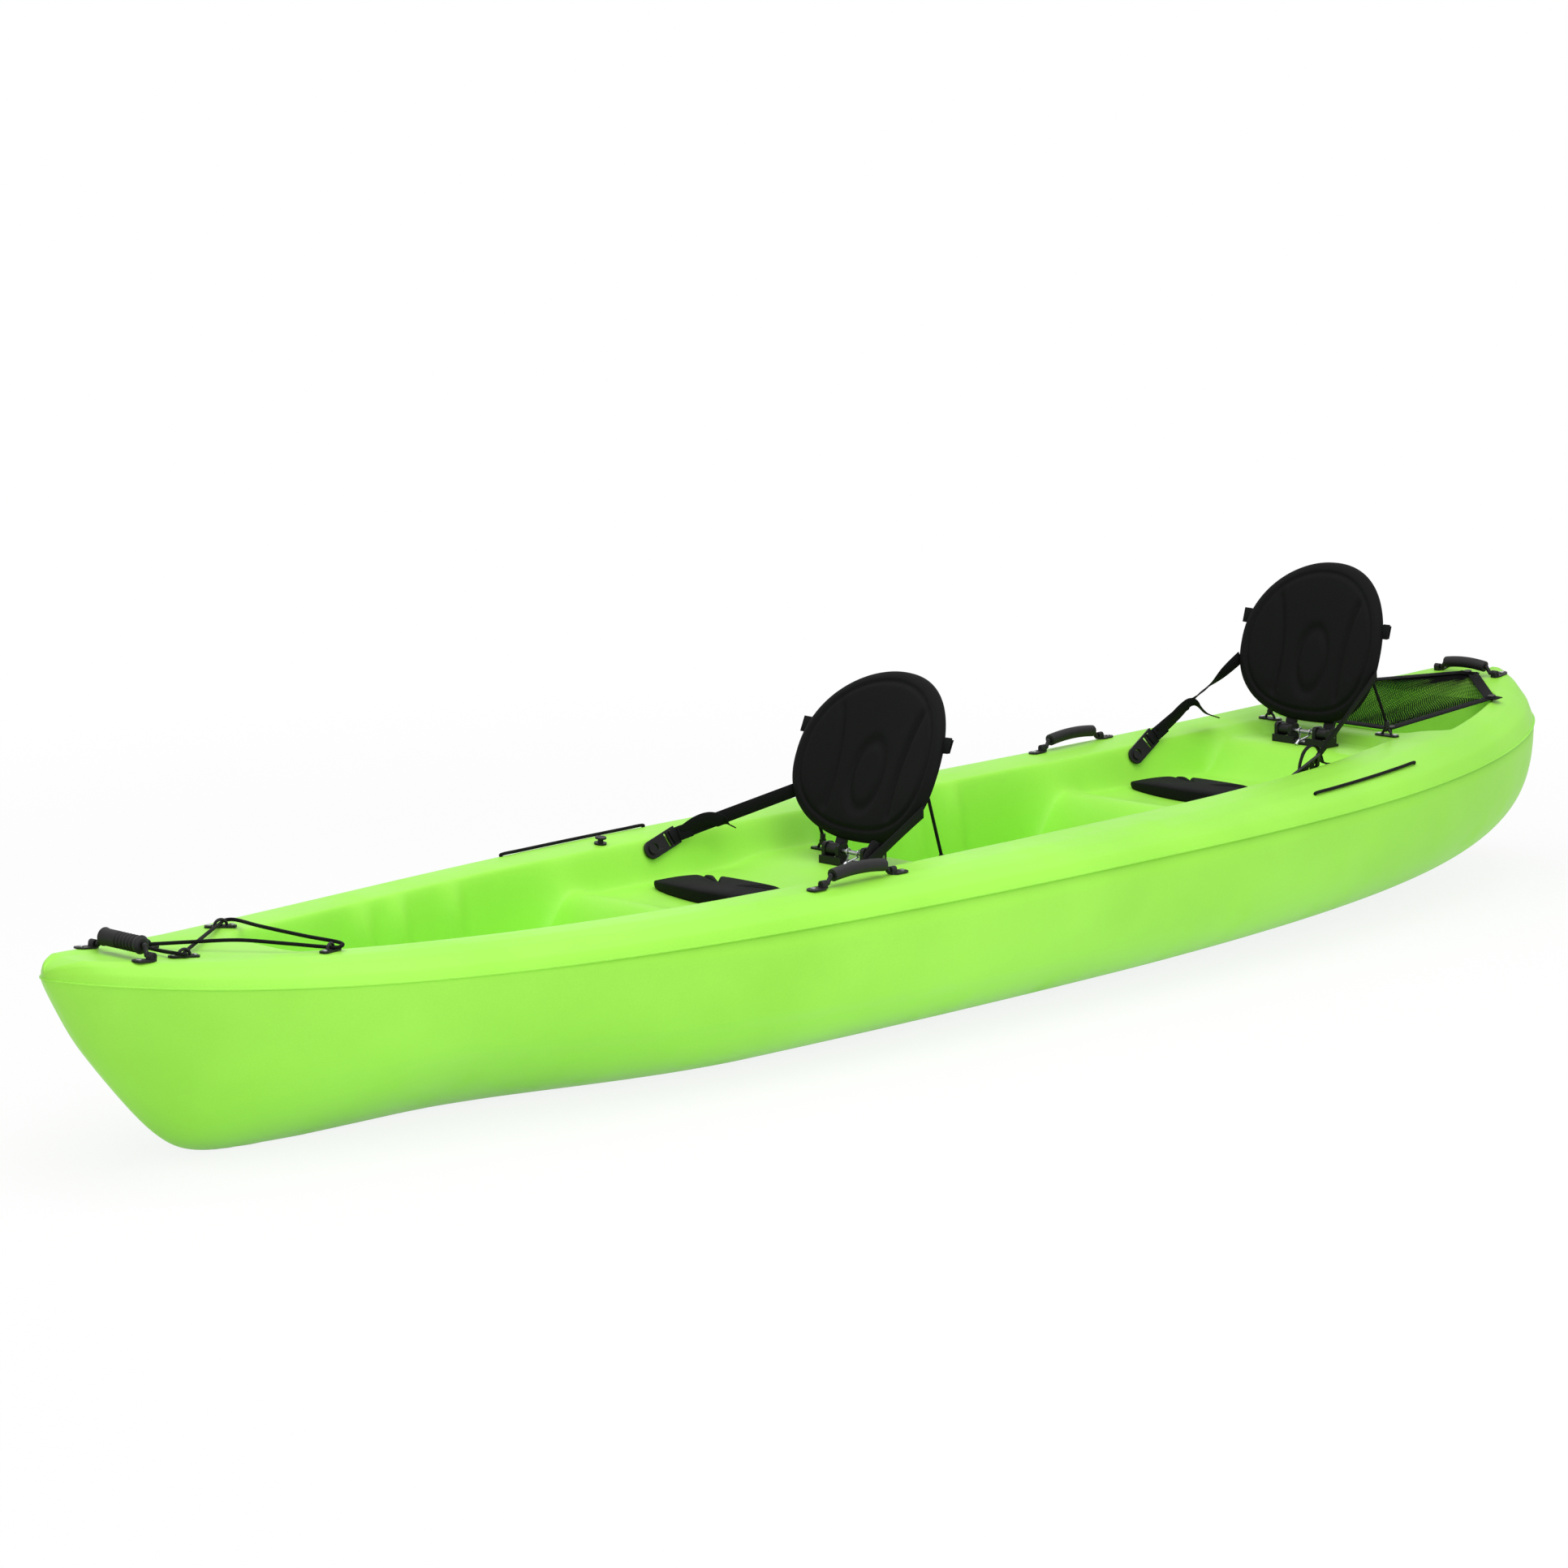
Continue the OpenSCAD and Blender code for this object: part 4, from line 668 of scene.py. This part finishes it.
# Each strap's twist with the place and length of its turn, its loose end, and the step where that end
# turns edge on.
strap_lays = {("front", "starboard"): ((0.0, 0.5, 0.2), short_end, 34),
              ("front", "port"): ((-0.25, 0.6, 0.4), short_end, 34),
              ("rear", "starboard"): ((1.1, 0.60, 0.15), hanging_end, 26),
              ("rear", "port"): ((-0.42, 0.6, 0.5), looped_end, -12)}
strap_steps, end_steps, fold_steps, upright_by, edge_on_run = 90, 60, 8, 34, 16
fold_share, fold_off, fold_lie, follows_from = 0.11, 0.0024, 12, 0.35
strap_shares = (0, 0.06, 0.2, 0.35, 0.5, 0.65, 0.8, 0.95, 1)
for seat, ((hinge_x, _), _, strap_height) in seats.items():
    anchor_x = hinge_x + anchor_ahead
    anchor_y = -(well_half(anchor_x) - anchor_in)

    def on_hook(along, across):
        return deck_point(anchor_x, anchor_y, hook_turn, (along, across, hook_lift))

    slot_in, start = on_hook(hook_length - slot_back, 0), on_hook(hook_length - tail_back, 0)
    lie = (on_hook(0.04, 0.010) - on_hook(0.04, 0)).normalized()
    lie = -lie if lie.z < 0 else lie
    half = pad_half(strap_height)
    end = lean_frame(seat) @ Vector((wrap(half), -half - edge_gap, strap_height))
    pull = (end - start).normalized()
    for side, hand in ((1, "starboard"), (-1, "port")):
        flip = Matrix.Diagonal((1, side, 1, 1))
        (twist, twist_at, twist_run), loose_end, edge_on_at = strap_lays[seat, hand]
        path = smooth_run([slot_in] + [start.lerp(end, t) for t in strap_shares], strap_steps)
        stand = [Matrix.Rotation(twist * dip(i / strap_steps - twist_at, twist_run), 3, pull)
                 @ lie.lerp(Vector((0, 0, 1)), ease(i / upright_by)) for i in range(strap_steps + 1)]
        tail = smooth_run([start.lerp(end, t) + Vector(off) for t, off in loose_end], end_steps)
        flat_way, edge_way = Vector((0.1, 0.2, 1)), Vector((0.7, side * 0.75, 0.15))
        lift = [flat_way.lerp(edge_way, ease((i - edge_on_at) / edge_on_run)) for i in range(end_steps + 1)]
        fold = [start.lerp(end, t) + Vector((0, fold_off, 0))
                for t in np.linspace(0.0, fold_share, fold_steps)]
        strips = [ribbon([flip @ p for p in path], [flip @ v for v in stand]),
                  ribbon([flip @ p for p in tail], [flip @ v for v in lift]),
                  ribbon([flip @ p for p in fold], [flip @ stand[fold_lie]] * fold_steps)]
        strap = make_webbing(f"{seat}_{hand}_webbing", strips)
        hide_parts(f"{seat}_{hand}_strap")
        flip @ start.lerp(end, follows_from)
        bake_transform(strap)

# Back bungees: short shock cords from the lower edge of each pad to pad eyes on the shelf behind.
# Each is braided polyester over rubber, with a hook of black plastic that grips the eye.
bungee_d, cord_sides, braid_strands, braid_turns = 0.006, 12, 6, 240
cordage, place = new_finish("black_braided_cord", IOR=1.45, Specular_IOR_Level=0.12)
round_way = place.add("SeparateXYZ", {}, {0: place.also("UV")}, 0)
strand, climb = round_way * braid_strands, round_way.also(1) * braid_turns
braid = (strand + climb).wave(1.0) * (strand - climb).wave(1.0)
# The braid's colour follows its bump height, lighter on the strand crowns and darker in the grooves between
# strands: painted shade in the braid.
feed(cordage,
     Base_Color=tint(braid * 0.5 + 0.5, (8, 8, 9), (24, 24, 25)),
     Roughness=0.72 - braid * 0.08,
     Normal=relief(braid * 0.5 + 0.5, 0.5, 0.0006))


def make_cord(name, paths):
    """One piece of cord along each of the given paths, with places round and along it for the braid."""
    points, faces = join_tubes([tube(path, bungee_d / 2, cord_sides) for path in paths])
    places = []
    for path in paths:
        far, runs = 0.0, [0.0]
        for i, p in enumerate(path):
            far += (Vector(p) - Vector(path[i - 1])).length if i else 0.0
            runs.append(far)
        places += [(k / cord_sides, run) for run in runs + [far] for k in range(cord_sides)]
    mesh = bpy.data.meshes.new(name)
    mesh.from_pydata(points, [], faces)
    lay = mesh.uv_layers.new(name="braid")
    for face in mesh.polygons:
        spots = [places[mesh.loops[i].vertex_index] for i in face.loop_indices]
        seam_here = max(u for u, _ in spots) > 0.75
        for i, (u, v) in zip(face.loop_indices, spots):
            lay.data[i].uv = (u + 1 if seam_here and u < 0.25 else u, v)
    return set_out(name, mesh, cordage)


bungee_out, bungee_back, bungee_height = 0.148, 0.0085, pad_rise + 0.30 * back_height
eye_behind, eye_in, eye_base, eye_rise, hook_reach, hook_neck = 0.072, 0.028, 0.002, 0.008, 0.005, 0.010
eye_out = well_half(seats["rear"][0][0] - eye_behind) - eye_in
hook_seat = eye_base + eye_rise + hook_reach + seat_gap
for seat, ((hinge_x, _), _, _) in seats.items():
    top = lean_frame(seat) @ Vector((wrap(bungee_out) - bungee_back, bungee_out, bungee_height))
    low = deck_point(hinge_x - eye_behind, eye_out, 0, (0, 0, hook_seat + hook_neck))
    run = [top.lerp(low, i / 24) for i in range(25)]
    bungees = make_cord(seat + "_shock_cords", [[Vector((p.x, side * p.y, p.z)) for p in run]
                                                for side in (1, -1)])
    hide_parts(seat + "_back_bungees")
    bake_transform(bungees)
    dress(seat + "_bungee_hooks", plastic, 0.0008)

# Seat pads: moulded black foam leaves bonded in the pans, drawn out thin to the sides.
# Two slanting grooves cross each half and end in notches in the back edge.
leaf_fore, leaf_fore_square, leaf_aft, leaf_aft_square = 0.048, 1.5, 0.076, 2.8
seat_thick, seat_ahead, seat_breadth, seat_side_gap = 0.026, 0.335, 0.320, 0.002
leaf_sides, leaf_edge, tip_thin = 240, 0.75, 0.42
notch_places, notch_round, notch_in = (142.5, 157.5), 2.4, 0.08
groove_deep, groove_from, groove_run = 0.52, 0.22, 0.3


def notch(a):
    return max(dip(abs(a) - c, notch_round) for c in notch_places)


def leaf(k, r, half):
    a = 360 * k / leaf_sides - 180
    ahead = abs(a) < 90
    power = 2 / (leaf_fore_square if ahead else leaf_aft_square)
    size = r * (1 - notch_in * notch(a) * r * r)
    turn = math.radians(a)
    swell = math.sqrt(max(0.0, 1 - r ** 6))
    tip = abs(math.sin(turn)) ** 3 * r * r
    groove = groove_deep * notch(a) * ease((r - groove_from) / groove_run)
    z = seat_thick * mix(leaf_edge, 1, swell) * (1 - groove) * (1 - tip_thin * tip)
    return Vector((size * (leaf_fore if ahead else leaf_aft) * signed_pow(math.cos(turn), power),
                   size * half * signed_pow(math.sin(turn), power), z))


leaf_shares = [1 - (1 - i / 34) ** 1.6 for i in range(1, 35)]
edge_profile = ((1.004, 0.80), (1.004, 0.5), (0.992, 0.16), (0.975, 0.0))
for seat, ((hinge_x, _), _, _) in seats.items():
    x = hinge_x + seat_ahead
    half = min(seat_breadth / 2, well_half(x - leaf_aft / 2) - wall_run - seat_side_gap)
    spot = Vector((x, 0, well_floor(x) + seat_gap))
    rings = [[spot + Vector((0, 0, seat_thick))] * leaf_sides]
    rings += [[spot + leaf(k, r, half) for k in range(leaf_sides)] for r in leaf_shares]
    edge = [leaf(k, 1, half) for k in range(leaf_sides)]
    rings += [[spot + Vector((p.x * f, p.y * f, p.z * h)) for p in edge] for f, h in edge_profile]
    rings += [[spot] * leaf_sides]
    cushion = make_piece(seat + "_seat_cushion", *skin(list(reversed(rings)), True), foam)
    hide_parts(seat + "_seat_pad")
    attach(cushion, "kayak")

# Carry handles: feet and bails of black plastic with rubber grips, screwed to the bow, stern and gunwales.
# Each bail pivots in its feet, and the bow grip has ribs over its outer half.
rubber, place = new_finish("black_rubber_grip", IOR=1.5, Specular_IOR_Level=0.32)
grain, dust = speckle(place, 620.0, 3.0), speckle(place, 40.0, 4.0)
feed(rubber,
     Base_Color=tint(dust, (14, 14, 15), (28, 28, 29)),
     Roughness=0.5 + grain * 0.2,
     Normal=relief(grain, 0.25, 0.0003))
for handle in ("bow", "stern", "port", "starboard"):
    dress(handle + "_handle_feet", plastic, 0.0008)
    dress(handle + "_handle_bail", plastic, 0.0004)
    dress(handle + "_handle_grip", rubber, 0.0009)

# Pad eyes and the paddle hook: black plastic, each on a small plate with screws into the deck.
# The eyes at the seats take the back bungees and those at the bow the laced one.
for name in ("seat_pad_eyes", "bow_pad_eyes", "paddle_hook"):
    dress(name, plastic, 0.0005)

# Bow bungee: one shock cord laced across the foredeck through four pad eyes and drawn tight.
# Both of its ends meet beside the fore starboard eye, and it lies close to the deck.
fore_eyes, aft_eyes, eye_plate = (0.230, 0.046), (0.450, 0.132), 0.003


def eye_middle(eyes, side):
    back, out = eyes
    return deck_point(half_length - back, side * out, 0, (0, 0, eye_plate + bungee_d / 2 + seat_gap))


def beside(p, ahead, port, up):
    return p + Vector((ahead, port, up))


def part_way(p, q, share, ahead, up):
    return p.lerp(q, share) + Vector((ahead, 0, up))


fore_port, fore_star = eye_middle(fore_eyes, 1), eye_middle(fore_eyes, -1)
aft_port, aft_star = eye_middle(aft_eyes, 1), eye_middle(aft_eyes, -1)
lacing = [beside(fore_star, -0.004, -0.009, 0), fore_star]
lacing += [part_way(fore_star, aft_port, t, 0, up)
           for t, up in ((0.25, 0.005), (0.5, 0.009), (0.75, 0.005))]
lacing += [aft_port, beside(aft_port, -0.014, 0.009, 0.001), beside(aft_port, -0.024, -0.008, 0.003)]
lacing += [part_way(aft_port, aft_star, t, -0.016, 0.004) for t in (0.3, 0.7)]
lacing += [beside(aft_star, -0.024, 0.008, 0.003), beside(aft_star, -0.014, -0.009, 0.001), aft_star]
lacing += [part_way(aft_star, fore_port, t, 0, 0.001) for t in (0.25, 0.5, 0.75)]
lacing += [fore_port, beside(fore_port, 0.004, 0.010, 0), beside(fore_port, 0.014, 0.015, 0.002),
           beside(fore_port, 0.025, 0.009, 0.005)]
lacing += [part_way(fore_port, fore_star, t, 0.023, 0.003) for t in (0.25, 0.75)]
lacing += [beside(fore_star, 0.025, -0.009, 0.005), beside(fore_star, 0.014, -0.015, 0.002)]
lacing = smooth_run(lacing, 340)


def run_length(route):
    return sum((b - a).length for a, b in zip(route, route[1:]))


bow_cord = make_cord("bow_lacing", [lacing])
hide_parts("bow_bungee")
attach(bow_cord, "kayak")
run_length(lacing)

# Paddle keepers: a shock cord along each gunwale whose ends go down through the moulding.
# They hold a paddle's shaft against the deck.
keeper_gap, keeper_ends = 0.0006, ((0.003, -0.004), (0.009, -0.014))


def keeper_point(x, side, share, up):
    y = side * (half_breadth(x) - share * gunwale_breadth(x))
    return deck_point(x, y, 0, (0, 0, bungee_d / 2 + up))


for hand, fore, aft, side, share in (("port", -0.835, -1.172, 1, 0.27),
                                     ("starboard", 0.620, 0.265, -1, 0.5)):
    route = [keeper_point(fore + past, side, share, up) for past, up in reversed(keeper_ends)]
    route += [keeper_point(mix(fore, aft, t / 8), side, share, keeper_gap) for t in range(9)]
    route += [keeper_point(aft - past, side, share, up) for past, up in keeper_ends]
    route = smooth_run(route, 150)
    keeper = make_cord(hand + "_keeper_cord", [route])
    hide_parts(hand + "_paddle_keeper")
    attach(keeper, "kayak")
    run_length(route)

# Tankwell net: fine knotted black mesh inside a webbing border, stretched over the tankwell.
# The border is sewn from webbing and buttoned down at five corners: two on the rear shelf, one on each
# side of the tankwell and one at the stern.
border_breadth, border_thick, net_lift, net_sag, button_in = 0.022, 0.0018, 0.003, 0.008, 0.010
net_behind, net_inside, side_ahead, stern_in, aft_half = 0.100, 0.014, 0.090, 0.048, 0.018
fore_x, fore_half = seats["rear"][0][0] - net_behind, eye_out - net_inside
side_x, aft_x = side_ahead + well_line[-1][0], stern_in - half_length
net_low = deck_z(fore_x, fore_half) + net_lift
net_high = deck_z(aft_x, 0.0) + net_lift
net_tilt = math.atan2(net_high - net_low, fore_x - aft_x)
net_run = math.hypot(fore_x - aft_x, net_high - net_low)
net_turn = Matrix.Translation((fore_x, 0, net_low)) @ Matrix.Rotation(net_tilt, 4, "Y")
side_run, side_half = (fore_x - side_x) / math.cos(net_tilt), well_half(side_x) + button_in
side_slope, aft_slope = (side_half - fore_half) / side_run, (aft_half - side_half) / (net_run - side_run)
side_stretch, aft_stretch = math.hypot(1, side_slope), math.hypot(1, aft_slope)


def net_half(u, inset):
    """Half breadth of the net at u behind its fore edge, with its outline moved in."""
    return min(fore_half + side_slope * u - inset * side_stretch,
               aft_half - aft_slope * (net_run - u) - inset * aft_stretch)


netting, place = new_finish("black_knotted_net", IOR=1.45, Specular_IOR_Level=0.08)
twine = speckle(place, 900.0)
feed(netting,
     Base_Color=tint(twine, (7, 7, 8), (20, 20, 21)),
     Roughness=0.6 + twine * 0.25,
     Normal=relief(twine, 0.4, 0.0003))
rows, columns, net_in, net_under, strand_d = 66, 50, 0.010, -0.0006, 0.0011
bunch_size, bunch_waves, bunch_start = 0.016, 11, 0.8


def net_place(u, v):
    """A point of the net, u metres from front to back and v across from -1 to 1."""
    sag = net_sag * (1 - (2 * u / net_run - 1) ** 2) * (1 - v * v)
    return net_turn @ Vector((-u, v * net_half(u, net_in), net_under - sag))


bunched = [v + bunch_size * math.sin(bunch_waves * v + bunch_start)
           for v in (2 * j / columns - 1 for j in range(columns + 1))]
grid = [[net_place(mix(net_in, net_run - net_in, i / rows), max(-1, min(1, v))) for v in bunched]
        for i in range(rows + 1)]
net = make_piece("cargo_net", *skin(grid), netting)
strands = net.modifiers.new("strands", "WIREFRAME")
strands.thickness, strands.use_even_offset = strand_d, False
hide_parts("tankwell_net")
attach(net, "kayak")
net_area = (fore_half + side_half) * side_run + (side_half + aft_half) * (net_run - side_run)
2 * side_half

border_up, border_lap, border_steps = 0.0012, 0.4, 31
net_tab_up, net_tab_in, net_tab_long, net_tab_rake = 0.0026, 0.016, 0.026, 0.004
edge_in = border_breadth / 2
turn_u = side_run + edge_in * (aft_stretch - side_stretch) / (aft_slope - side_slope)
half_round = [(u, net_half(u, edge_in)) for u in (edge_in, turn_u, net_run - edge_in)]
corners = half_round + [(u, -half) for u, half in reversed(half_round)]
strips = []
for (u1, y1), (u2, y2) in zip(corners, corners[1:] + corners[:1]):
    over = border_breadth * border_lap / math.hypot(u2 - u1, y2 - y1)
    path = [net_turn @ Vector((-mix(u1, u2, t), mix(y1, y2, t), border_up))
            for t in np.linspace(-over, 1 + over, border_steps)]
    across = (path[-1] - path[0]).cross(net_turn.to_3x3() @ Vector((0, 0, 1))).normalized()
    strips.append(ribbon(path, [across] * border_steps, border_breadth, border_thick))
for side in (1, -1):
    tab = [net_turn @ Vector((-side_run + net_tab_rake * t,
                              side * (side_half - net_tab_in + net_tab_long * t), net_tab_up))
           for t in (0, 0.3, 0.6, 1)]
    across = net_turn.to_3x3() @ Vector((1, 0, 0))
    strips.append(ribbon(tab, [across] * len(tab), border_breadth, border_thick))
border = make_webbing("net_webbing", strips)
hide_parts("net_border")
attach(border, "kayak")
dress("net_buttons", plastic, 0.0012)

# Studio: a plain pale floor under a soft overhead light, with the camera at the photograph's angle.
# The floor and the background read white to the camera, and the floor keeps the kayak's shadow.
floor_half, floor_z, near_white = 60.0, -0.001, 0.86


def seen_as_white(wire):
    """One where the camera looks, straight on or by way of metal or glass."""
    direct = wire.add("LightPath", {}, {}, "Is Camera Ray")
    by_way = direct.reckon("MAXIMUM", direct.also("Is Glossy Ray"), direct.also("Is Transmission Ray"))
    return direct.reckon("MAXIMUM", direct, by_way)


floor_finish, place = new_finish("pale_floor", Roughness=0.9, Specular_IOR_Level=0.1)
feed(floor_finish, Base_Color=tint(speckle(place, 3.0), (247, 247, 247), (250, 250, 250)))
out_from_middle = place.add("VectorMath", {"operation": "LENGTH"}, {0: place}, "Value")
white = seen_as_white(place) * (near_white + (1 - near_white) * out_from_middle.step(1.4, 3.6))
tree = floor_finish.node_tree
shade = Wire(tree, tree.nodes["Principled BSDF"].outputs[0])
glow = place.add("Emission", {}, {"Strength": 1.0})
shown = place.add("MixShader", {}, {0: white, 1: shade, 2: glow})
tree.links.new(shown.socket, tree.nodes["Material Output"].inputs[0])
floor_corners = [(x * floor_half, y * floor_half, floor_z)
                 for x, y in ((-1, -1), (1, -1), (1, 1), (-1, 1))]
floor = make_piece("studio_floor", floor_corners, [(0, 1, 2, 3)], floor_finish)

sky_light = 0.46
world = bpy.data.worlds.new("studio")
bpy.context.scene.world = world
world.use_nodes = True
tree = world.node_tree
backdrop = tree.nodes["Background"]
backdrop.inputs["Color"].default_value = (1.0, 1.0, 1.0, 1.0)
sky = sky_light + seen_as_white(Wire(tree)) * (1 - sky_light)
tree.links.new(sky.socket, backdrop.inputs["Strength"])

for name, size, power, spot, aim in (("overhead_softbox", 5.0, 145.0, (0.6, 0.6, 4.2), (0.0, 0.0, 0.2)),
                                     ("side_softbox", 3.6, 68.0, (1.9, 5.0, 2.2), (-0.2, 0.0, 0.2))):
    lamp = bpy.data.lights.new(name, "AREA")
    lamp.size, lamp.energy = size, power
    holder = bpy.data.objects.new(name, lamp)
    holder.location = spot
    holder.rotation_euler = (Vector(aim) - Vector(spot)).to_track_quat("-Z", "Y").to_euler()
    bpy.context.scene.collection.objects.link(holder)

target, distance = Vector((0.228, 0.0, 0.410)), 8.42
swing, tilt = math.radians(46.26), math.radians(10.15)
photo_width, photo_focal, sensor_width = 1932, 6000, 36.0
ahead = Vector((-math.sin(swing) * math.cos(tilt), -math.cos(swing) * math.cos(tilt), -math.sin(tilt)))
camera = bpy.data.objects.new("studio_camera", bpy.data.cameras.new("studio_camera"))
camera.data.sensor_width, camera.data.lens = sensor_width, photo_focal / photo_width * sensor_width
camera.location = target - ahead * distance
camera.rotation_euler = ahead.to_track_quat("-Z", "Y").to_euler()
bpy.context.scene.collection.objects.link(camera)
bpy.context.scene.camera = camera
bpy.context.scene.view_settings.view_transform = "Standard"
